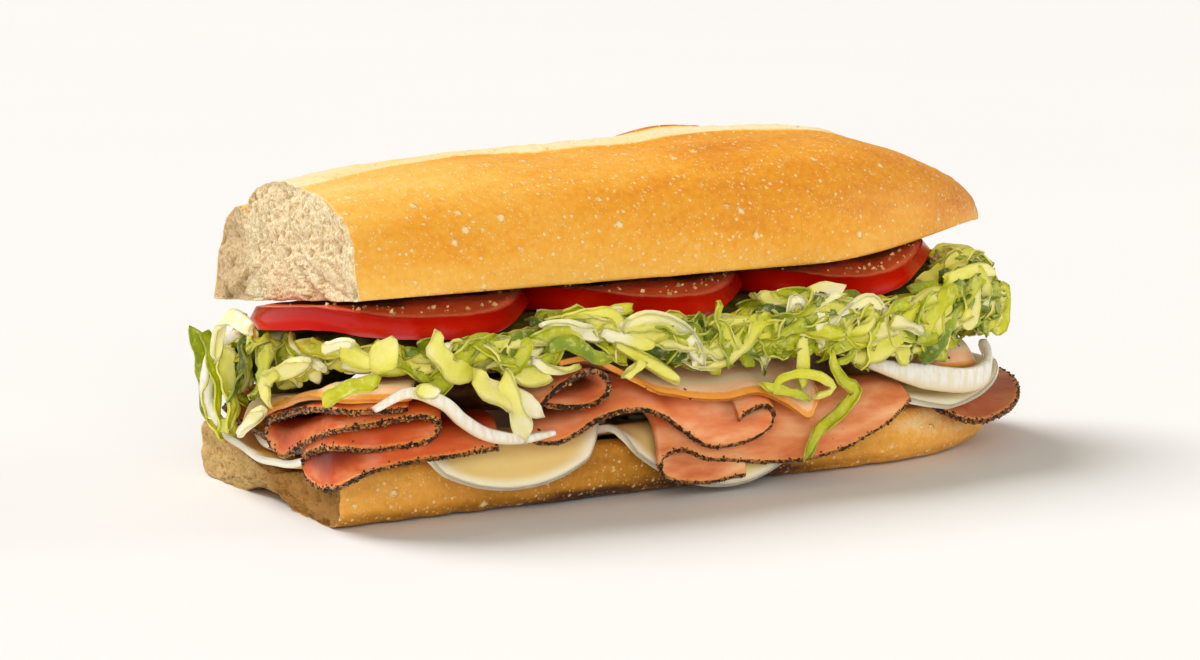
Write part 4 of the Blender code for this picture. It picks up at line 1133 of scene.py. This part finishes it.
def make_tomato(number, centre_x, centre_y, radius, look):
    """A round slice with three hollows of seed gel."""
    a = full_turn(180)
    shape = 1 + 0.018 * np.sin(5 * a + number) + 0.01 * np.sin(2 * a + 2 * number)
    share = np.r_[np.linspace(0, 0.9, 34), np.linspace(0.92, 1.0, 8)][:, None]
    size = radius * share * shape
    x, y = centre_x + size * np.cos(a), centre_y + size * np.sin(a)
    grid = np.stack([x, y, tomato_mid(x, y)], -1)
    lobes = 0.5 + 0.5 * np.cos(3 * a + number)
    gel = smooth((lobes - 0.35) / 0.3)[None] * smooth((share - 0.3) / 0.1) * smooth((0.78 - share) / 0.08)
    thick = TOMATO_THICK - 0.8 * gel + 0.25 * rough(grid, 3.0, 50)
    marks = {"share": np.broadcast_to(share, x.shape), "gel": gel}
    name = f"tomato_{number}"
    return sheet_piece(name + "_cut", grid, thick, look, True, marks, slot="tomato", replaces=[name])


def make_tomatoes():
    look = Look("tomato_ripe", Roughness=0.24, Specular_IOR_Level=0.32)
    share = look.mark("share")
    flesh = look.mix(look.noise(3.0, 4.0), srgb(172, 50, 16), srgb(208, 84, 42))
    gel = look.mix(look.noise(2.0, 3.0), srgb(130, 40, 8), srgb(192, 90, 24))
    inside = look.mix(look.mark("gel"), flesh, gel)
    inside = look.mix(look.between(share, 0.9, 0.95), inside, srgb(216, 98, 66))
    skin = look.mix(look.noise(12.0, 2.0), srgb(188, 12, 1), srgb(206, 22, 3))
    look.feed("Base Color", look.mix(look.between(share, 0.965, 0.985), inside, skin))
    look.bump(look.times(look.noise(1.1, 4.0), look.between(share, 0.98, 0.95)), 0.25)
    for number, place in enumerate(TOMATOES, 1):
        make_tomato(number, *place, look)


def make_flakes():
    """The dry flakes on the tomatoes' front halves."""
    rng = random.Random(11)
    look = Look("dry_seasoning", Roughness=0.8)
    look.feed("Base Color", look.ramp(look.mark("tone"), FLAKE_TONES))
    grains = []
    for x, y, radius in TOMATOES:
        for _ in range(FLAKES_A_TOMATO):
            a = math.radians(rng.gauss(-90, 34))
            r = radius * rng.uniform(0.78, 0.95)
            spot = np.array([x + r * math.cos(a), y + r * math.sin(a)])
            top = float(tomato_mid(*spot)) + TOMATO_THICK / 2 + 0.15
            grains.append(grain(rng, np.array([*spot, top]), rng.choice(FLAKE_SIZES)))
    scatter("dry_herb_flakes", grains, look)


# Lettuce


# A kind of shred: its thickness, ranges of width and length, how fast it bends in radians a millimetre, how
# far its edges wave, and the range of its tone from 0, pale, to 1, green
Kind = namedtuple("Kind", "thick widths lengths bend wave tones")
KINDS = {
    "leaf": Kind(0.55, (2.0, 4.9), (12.0, 34.0), 0.07, 0.5, (0.2, 0.95)),
    "rib": Kind(1.2, (1.8, 3.6), (8.0, 20.0), 0.04, 0.1, (0.1, 0.45)),
    "curl": Kind(0.6, (1.6, 3.0), (20.0, 36.0), 0.18, 0.3, (0.2, 0.8)),
}
# How many shreds of each kind are scattered, and whether on the heap's top at the heel
COUNTS = (
    ("leaf", 430, False), ("rib", 110, False), ("curl", 70, False), ("leaf", 90, True), ("rib", 30, True),
)
# What is left between shreds and the other solids, and how often a scattered shred is tried
CLEARANCE = 0.9
TRIES = 10
# How far out from the wall the shreds that stand out start, and their width as a share of what their list says
LEAST_OUT = 1.2
LEAST_OUT_IN_CUT = -2.5
FEATURE_SHARE = 0.86
# How many points a scattered shred's path has, and how deep the layers of shreds go
STEPS = 8
LAYERS_DEPTH = 3.0
# How the names of the pieces end that shreds keep clear of
SOLID_ENDINGS = ("_baked", "_sliced", "_strip", "_cut")

# The shreds that stand out: kind, width, tone, and a path of (u, z) along the front, which turns the corner
# where u is under WALL_X + WALL_CORNER
FEATURES = [
    ("rib", 3.0, 0.0, ((-136, 23), (-143, 19), (-149.5, 15))),
    ("leaf", 6.0, 0.6, ((-168, 36), (-163, 29), (-161, 22), (-163, 15))),
    ("leaf", 5.5, 0.3, ((-158, 34), (-158.6, 27), (-156, 20), (-158, 14))),
    ("leaf", 5.5, 0.8, ((-176, 35), (-172, 29), (-170.5, 22), (-173, 15))),
    ("curl", 3.6, 0.35, ((-170, 18), (-163, 15), (-156, 17), (-154, 23))),
    ("rib", 3.6, 0.05, ((-135.6, 41), (-145.7, 42.4), (-151.8, 40.2), (-154, 36.3), (-155.4, 31.8))),
    ("leaf", 5.5, 0.45, ((-174, 22.8), (-167, 25.2), (-161.4, 23.8), (-166, 20.5))),
    ("leaf", 4.0, 0.35, ((-162, 32.4), (-165.8, 25), (-166.7, 18), (-162, 11.7))),
    ("leaf", 5.0, 0.95, ((-147.5, 36.7), (-150, 29.6), (-154.7, 22))),
    ("leaf", 5.0, 0.6, ((-135.7, 37.3), (-139.2, 30), (-144.8, 23.6))),
    ("curl", 4.0, 0.3, ((-129, 32.7), (-136, 28.3), (-133, 25))),
    ("rib", 4.0, 0.2, ((-116, 36.8), (-126.4, 32.6), (-136, 30))),
    ("leaf", 6.5, 0.25, ((-93.6, 43), (-93.8, 39.7), (-94.2, 35.9))),
    ("leaf", 4.4, 0.35, ((-102.2, 40.7), (-99.2, 39.4), (-96.4, 37.7))),
    ("rib", 2.6, 0.0, ((-107, 40.3), (-102.6, 42), (-99.5, 42.2))),
    ("leaf", 4.0, 0.5, ((-95, 34), (-99.9, 33), (-106, 29.4))),
    ("leaf", 6.0, 0.3, ((-82.6, 42.2), (-80, 38), (-76.9, 34.8), (-73, 35.4))),
    ("rib", 3.0, 0.1, ((-88.2, 32.4), (-85.6, 31.7), (-83.2, 31))),
    ("leaf", 5.5, 0.15, ((-67.5, 33.4), (-65.5, 28.8), (-63.6, 24.3), (-61.4, 19.5))),
    ("leaf", 6.0, 0.1, ((-74, 33.9), (-69.2, 30.2), (-63, 27.5), (-57.4, 25))),
    ("rib", 4.6, 0.0, ((-35.3, 41.5), (-28.6, 42.3), (-21.7, 40), (-17.7, 36), (-15.6, 31.6))),
    ("rib", 3.0, 0.1, ((-41, 40.4), (-34.3, 38.1), (-27.6, 36.2))),
    ("rib", 2.6, 0.3, ((-37.3, 37.5), (-29, 33), (-21, 27.8))),
    ("rib", 2.5, 0.25, ((-31.4, 33.2), (-33.7, 31.8), (-35.8, 30.2))),
    ("leaf", 3.6, 0.8, ((-55.6, 38.3), (-51.4, 39.5), (-47.4, 37.6), (-43.9, 35.6), (-39.8, 35))),
    ("rib", 2.2, 0.1, ((-58.9, 35.9), (-54.9, 33.6), (-50.4, 32.8), (-46.9, 33.6))),
    ("leaf", 3.4, 0.7, ((-11, 45), (-10.4, 38.7), (-8.3, 33.5), (-7.5, 29.8))),
    ("leaf", 3.6, 0.9, ((-4.3, 37), (-1.1, 32.9), (2, 27.8))),
    ("rib", 3.0, 0.35, ((11.8, 35.7), (12.1, 30), (12.5, 24))),
    ("leaf", 2.4, 0.6, ((-0.2, 25.3), (7.8, 23), (12.7, 21.2))),
    ("curl", 2.2, 0.4, ((2.5, 23.5), (5.1, 26.4), (10.5, 27.1), (16, 25.7), (19.3, 22.6), (13.8, 21.1))),
    (
        "leaf", 2.9, 0.6,
        ((19.7, 31.2), (21.2, 26), (24.5, 23.1), (26.7, 21.3), (22, 16.4), (16.4, 12.7), (13.2, 6.8)),
    ),
    ("rib", 3.0, 0.05, ((19.4, 36.3), (22.6, 39.5), (29.5, 42.4), (33.7, 40.3))),
    ("rib", 3.4, 0.05, ((36.5, 36.8), (40.7, 35.8), (45.3, 33.8))),
    ("rib", 2.8, 0.3, ((52, 45), (61.9, 45.7), (67, 44.6))),
]


LEAF_TONES = [
    (0.0, srgb(252, 248, 206)), (0.2, srgb(244, 238, 132)), (0.42, srgb(220, 220, 44)),
    (0.65, srgb(174, 186, 10)), (0.85, srgb(112, 136, 6)), (1.0, srgb(68, 88, 4)),
]


def leaf_look():
    look = Look(
        "leaf_cut", Roughness=0.36, Specular_IOR_Level=0.45,
        Subsurface_Weight=0.3, Subsurface_Scale=0.004, Subsurface_Radius=(0.9, 1.0, 0.25),
    )
    shade = look.math("ADD", look.mark("tone"), look.sway(look.noise(6.0, 3.0), 0.5))
    colour = look.ramp(shade, LEAF_TONES)
    veins = look.between(look.noise(1.5, 2.0), 0.52, 0.64)
    colour = look.mix(look.times(veins, 0.3), colour, srgb(244, 242, 150))
    edge = look.between(look.mark("edge"), 0.75, 1.0)
    look.feed("Base Color", look.mix(look.times(edge, 0.18), colour, srgb(242, 242, 140)))
    look.bump(look.noise(2.2, 2.0), 0.3)
    return look


def painted_shade_core_look():
    look = Look("leaf_in_depth", Roughness=0.6)
    # Dark olive and brown: painted shade in the gaps between the shreds.
    tones = [(0.2, srgb(46, 36, 6)), (0.5, srgb(88, 84, 10)), (0.8, srgb(130, 130, 22))]
    look.feed("Base Color", look.ramp(look.noise(5.0, 3.0), tones))
    look.bump(look.noise(2.0, 3.0), 0.6)
    return look


def heap_out(spot):
    """Outward from the heap at plan points near its side."""
    normal = (spot[..., :2] - HEAP_MIDDLE) / HEAP_HALF**2 * np.array([0.6, 1.0])
    normal = normal / np.linalg.norm(normal, axis=-1, keepdims=True)
    return np.concatenate([normal, np.zeros(normal.shape[:-1] + (1,))], -1)


def make_core(look):
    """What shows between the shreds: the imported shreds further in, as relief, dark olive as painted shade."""
    edge = heap_edge(full_turn(420))
    profile = [(0.3, 0), (0.8, 0), (0.95, 0.06), (1, 0.3), (1, 0.65), (0.95, 0.94), (0.8, 1), (0.3, 1)]
    rows = []
    for r, h in spline(profile, 60):
        spot = HEAP_MIDDLE + (edge - HEAP_MIDDLE) * r
        floor, roof = heap_floor(*spot.T), heap_roof(*spot.T)
        rows.append(np.column_stack([spot, floor + (np.maximum(roof, floor + 3) - floor) * h]))
    body = np.array(rows)
    near, _ = cells(body * (1, 1, 1.6), 5.0, 80)
    draw_in = 2.6 + HEEL_DRAW_IN * smooth((body[..., 0] - 62) / 16)
    body -= heap_out(body) * (draw_in + 1.8 * near + 1.2 * rough(body, 4.0, 81))[..., None]
    shape = ringed(body, body[0].mean(0), body[-1].mean(0))
    return piece("lettuce_core", *shape, look, "leaf", ["lettuce"])


def shred_grid(rng, path, width, kind, lean):
    """A shred's mid-surface along a path, leaning and twisting, and its points' places across and along."""
    run = float(np.linalg.norm(np.diff(path, axis=0), axis=1).sum())
    count = int(7 + run / 2.3)
    path = spline(path, count)
    s = np.linspace(0, 1, count)
    tangent = np.gradient(path, axis=0)
    tangent /= np.linalg.norm(tangent, axis=1, keepdims=True)
    side = np.cross(tangent, heap_out(path))
    side /= np.linalg.norm(side, axis=1, keepdims=True) + 1e-9
    turn = lean + rng.uniform(-0.9, 0.9) * s + 0.35 * np.sin(s * rng.uniform(3, 8) + rng.uniform(0, 6))
    lift = np.cross(side, tangent)
    flat = np.cos(turn)[:, None] * side + np.sin(turn)[:, None] * lift
    thin = np.cross(flat, tangent)
    across = np.linspace(-1, 1, 7 if width > 4.5 else 5)
    grow = width / 2 * (1 + 0.12 * np.sin(s * rng.uniform(3, 9) + rng.uniform(0, 6)))
    grow = grow * (1 - 0.4 * np.abs(2 * s - 1) ** 7)
    grid = path[:, None] + flat[:, None] * (grow[:, None] * across)[..., None]
    grid = grid + tangent[:, None] * (rng.uniform(-0.35, 0.35) * width * across)[None, :, None]
    cup = rng.uniform(-0.2, 0.2) * width * across**2
    ruffle = [np.sin(s * run / rng.uniform(0.7, 1.4) + rng.uniform(0, 6)) for _ in range(2)]
    one, other = np.maximum(0, across) ** 2, np.maximum(0, -across) ** 2
    ripple = KINDS[kind].wave * (one * ruffle[0][:, None] + other * ruffle[1][:, None])
    return grid + thin[:, None] * (cup + ripple)[..., None], across, s


def path_on_heap(rng, kind, layer):
    """A wandering path over the heap's side, in this layer outwards."""
    front = rng.random() < 0.62
    a = rng.uniform(math.pi * 0.97, math.pi * 2.03) if front else rng.uniform(0, 2 * math.pi)
    length = rng.uniform(*KINDS[kind].lengths)
    heading = rng.uniform(0, 2 * math.pi)
    turning = rng.choice((-1, 1)) * rng.uniform(0.2, 1.0) * KINDS[kind].bend * length / STEPS
    headings = heading + turning * np.arange(STEPS)
    x, y = heap_edge(np.array(a))
    floor = float(heap_floor(x, y)) - 10.0 * math.exp(-(((a - 0.93 * math.pi) / 0.3) ** 2))
    bank = 5.0 * (math.exp(-(((x + 40) / 9) ** 2)) + math.exp(-(((x - 14) / 8) ** 2)))
    floor += 5.0 * smooth((x - 50) / 10) * smooth((-y - 5) / 15)
    roof = max(float(heap_roof(x, y)) - 5.0 * smooth((x - 66) / 12), floor + 3) + bank
    z0 = floor + (roof - floor) * rng.random()
    speed = np.linalg.norm(heap_edge(np.array(a + 0.01)) - heap_edge(np.array(a - 0.01))) / 0.02
    along = np.cumsum(np.cos(headings)) * length / STEPS
    rise = np.cumsum(np.sin(headings)) * length / STEPS
    rise -= rise.mean()
    angles = a + (along - along.mean()) / max(20.0, speed)
    z = np.clip(z0 + rise, floor - rng.uniform(0, 6), roof + 0.5)
    bow = rng.uniform(-0.8, 1.8) * np.sin(np.linspace(0, np.pi, STEPS))
    out = 0.3 + layer + rng.uniform(-0.4, 0.6) + bow + rng.uniform(-0.8, 1.0) * np.linspace(-1, 1, STEPS)
    spots = heap_edge(angles)
    out = out - HEEL_DRAW_IN * smooth((spots[:, 0] - 62) / 16)
    if rng.random() < TOP_SHARE:
        share = rng.uniform(0.72, 0.96) + 0.03 * rise[:, None] / length
        inner = HEAP_MIDDLE + (spots - HEAP_MIDDLE) * share
        return np.column_stack([inner, heap_roof(*inner.T) + rng.uniform(0.4, 1.6) + 0.4 * bow])
    spots = np.concatenate([spots, z[:, None]], -1)
    return spots + heap_out(spots) * out[:, None]


def path_on_top(rng, kind):
    """A wandering path over the heap's top at the heel, where the lid leaves it in sight."""
    length = min(22.0, rng.uniform(*KINDS[kind].lengths))
    start = rng.uniform(0, 2 * math.pi)
    headings = start + rng.uniform(-1, 1) * KINDS[kind].bend * length * np.linspace(0, 1, STEPS)
    walk = np.cumsum(np.stack([np.cos(headings), np.sin(headings)], 1), axis=0) * length / STEPS
    plan = np.array([rng.uniform(36, 84), rng.uniform(-38, 34)]) + walk - walk.mean(0)
    across = (plan - HEAP_MIDDLE) / (HEAP_HALF - (HEAP_HEEL_SHORT, 0.0))
    edge = heap_edge(np.arctan2(across[:, 1], across[:, 0])) - HEAP_MIDDLE
    far = np.linalg.norm(plan - HEAP_MIDDLE, axis=1) / np.linalg.norm(edge, axis=1)
    plan = HEAP_MIDDLE + (plan - HEAP_MIDDLE) * np.minimum(1.0, 0.95 / far)[:, None]
    bow = rng.uniform(-0.3, 1.6) * np.sin(np.linspace(0, np.pi, STEPS))
    return np.column_stack([plan, heap_roof(*plan.T) + rng.uniform(0.4, 2.0) + bow])


def wall_path(points, out):
    """A path along the front from (u, z) points, this far out from the wall."""
    path = []
    for u, z in points:
        spot = on_wall(u)
        ahead = on_wall(u + 0.1) - spot
        normal = np.array([ahead[1], -ahead[0]]) / (np.hypot(*ahead) + 1e-9)
        back = HEEL_SETBACK * smooth((u - 40) / 45)
        path.append((*(spot + normal * out + back * SIGHT_ACROSS), z))
    return np.array(path)


class Surroundings:
    """The solids that shreds keep clear of."""

    def __init__(self, objects):
        graph = bpy.context.evaluated_depsgraph_get()
        self.trees = []
        for obj in objects:
            co = np.empty(len(obj.data.vertices) * 3)
            obj.data.vertices.foreach_get("co", co)
            co = co.reshape(-1, 3)
            self.trees.append((BVHTree.FromObject(obj, graph), co.min(0), co.max(0)))

    def touched(self, grid):
        """Whether any of these points, in millimetres, is nearer than CLEARANCE to a solid."""
        gap = CLEARANCE * MM
        spots = grid.reshape(-1, 3) * MM
        low, high = spots.min(0), spots.max(0)
        for tree, least, most in self.trees:
            if np.any(low > most + gap) or np.any(high < least - gap):
                continue
            for spot in spots:
                if tree.find_nearest(Vector(spot.tolist()), gap)[0] is not None:
                    return True
        return False


def shred_mesh(rng, kind, grid, across, s, tone):
    """A shred's points, faces and marks. Its tone fades along it, and edge is 1 at its two long edges."""
    points, faces, spots = sheet_mesh(grid, KINDS[kind].thick)
    fade = rng.uniform(-0.5, 0.5)
    tones = np.broadcast_to((tone + fade * (s - 0.5))[:, None], grid.shape[:2]).ravel()[spots]
    edges = np.abs(np.broadcast_to(across, grid.shape[:2])).ravel()[spots]
    return points, faces, {"tone": tones, "edge": edges}


def scattered_shred(rng, kind, i, count, on_top, around):
    """The i-th shred of count, further out the later it comes, or None where no try keeps clear."""
    for _ in range(TRIES):
        path = path_on_top(rng, kind) if on_top else path_on_heap(rng, kind, LAYERS_DEPTH * i / count)
        lean = rng.uniform(0.9, 2.2) if on_top else rng.uniform(-0.7, 0.7)
        shape = shred_grid(rng, path, rng.uniform(*KINDS[kind].widths), kind, lean)
        if not around.touched(shape[0]):
            # Shreds further in get a greener, darker tone and outer ones a paler one: painted shade of the
            # heap's depth.
            return shred_mesh(rng, kind, *shape, rng.uniform(*KINDS[kind].tones) + 0.3 * (0.5 - i / count))
    return None


def make_lettuce():
    look = leaf_look()
    make_core(painted_shade_core_look())
    around = Surroundings([o for o in bpy.data.objects if o.name.endswith(SOLID_ENDINGS)])
    rng = random.Random(3)
    made = {kind: [] for kind in KINDS}
    for kind, width, tone, points in FEATURES:
        least_out = LEAST_OUT_IN_CUT if points[0][0] < CUT_END_BACK_U else LEAST_OUT
        for more in range(5):
            path = wall_path(points, least_out + more)
            shape = shred_grid(rng, path, FEATURE_SHARE * width, kind, rng.uniform(-0.3, 0.3))
            if not around.touched(shape[0]):
                break
        made[kind].append(shred_mesh(rng, kind, *shape, tone))
    for kind, count, on_top in COUNTS:
        for i in range(count):
            shred = scattered_shred(rng, kind, i, count, on_top, around)
            if shred:
                made[kind].append(shred)
    for kind, shreds in made.items():
        points, faces, marks = joined(shreds)
        piece(f"lettuce_{kind}_shreds", points, faces, look, "leaf", **marks)
        print("lettuce", kind, len(shreds), "shreds", len(faces), "faces")


# Light, table and camera


def light(name, towards, spread, strength, colour):
    """A soft distant light from this direction, spread over so many degrees."""
    data = bpy.data.lights.new(name, "SUN")
    data.angle = math.radians(spread)
    data.energy = strength
    data.color = colour
    obj = bpy.data.objects.new(name, data)
    obj.location = towards
    obj.rotation_euler = Vector(towards).to_track_quat("Z", "Y").to_euler()
    bpy.context.scene.collection.objects.link(obj)


def make_studio():
    scene = bpy.context.scene
    scene.view_settings.view_transform = "Standard"
    world = bpy.data.worlds.new("studio")
    world.use_nodes = True
    world.node_tree.nodes["Background"].inputs["Color"].default_value = WORLD_COLOUR
    world.node_tree.nodes["Background"].inputs["Strength"].default_value = WORLD_STRENGTH
    scene.world = world
    for name, settings in LIGHTS.items():
        light(name, *settings)

    corners = [(x * FLOOR_HALF, y * FLOOR_HALF, 0) for x, y in ((-1, -1), (1, -1), (1, 1), (-1, 1))]
    mesh = bpy.data.meshes.new("floor")
    mesh.from_pydata(corners, [], [(0, 1, 2, 3)])
    floor = Look("floor_white", Roughness=0.6, Specular_IOR_Level=0.2)
    floor.feed("Base Color", floor.mix(floor.noise(400.0, 2.0), *FLOOR_TONES))
    mesh.materials.append(floor.material)
    obj = bpy.data.objects.new("floor", mesh)
    scene.collection.objects.link(obj)

    data = bpy.data.cameras.new("camera")
    data.lens = CAMERA_LENS
    data.sensor_width = SENSOR_WIDTH
    data.clip_start = 0.01
    camera = bpy.data.objects.new("camera", data)
    a, e = math.radians(CAMERA_AZIMUTH), math.radians(CAMERA_ELEVATION)
    back = Vector((math.sin(a) * math.cos(e), -math.cos(a) * math.cos(e), math.sin(e)))
    camera.location = (Vector(CAMERA_AIM) + back * CAMERA_DISTANCE) * MM
    camera.rotation_euler = (-back).to_track_quat("-Z", "Y").to_euler()
    scene.collection.objects.link(camera)
    scene.camera = camera


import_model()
make_studio()
make_lid(bread_look("bread_baked", LID_BAKES, LID_CRUMB))
make_base(bread_look("bread_baked_dark", BASE_BAKES_SHADED, BASE_CRUMB_SHADE))
make_cheeses()
make_hams()
make_onions()
make_tomatoes()
make_flakes()
make_pepper()
make_lettuce()
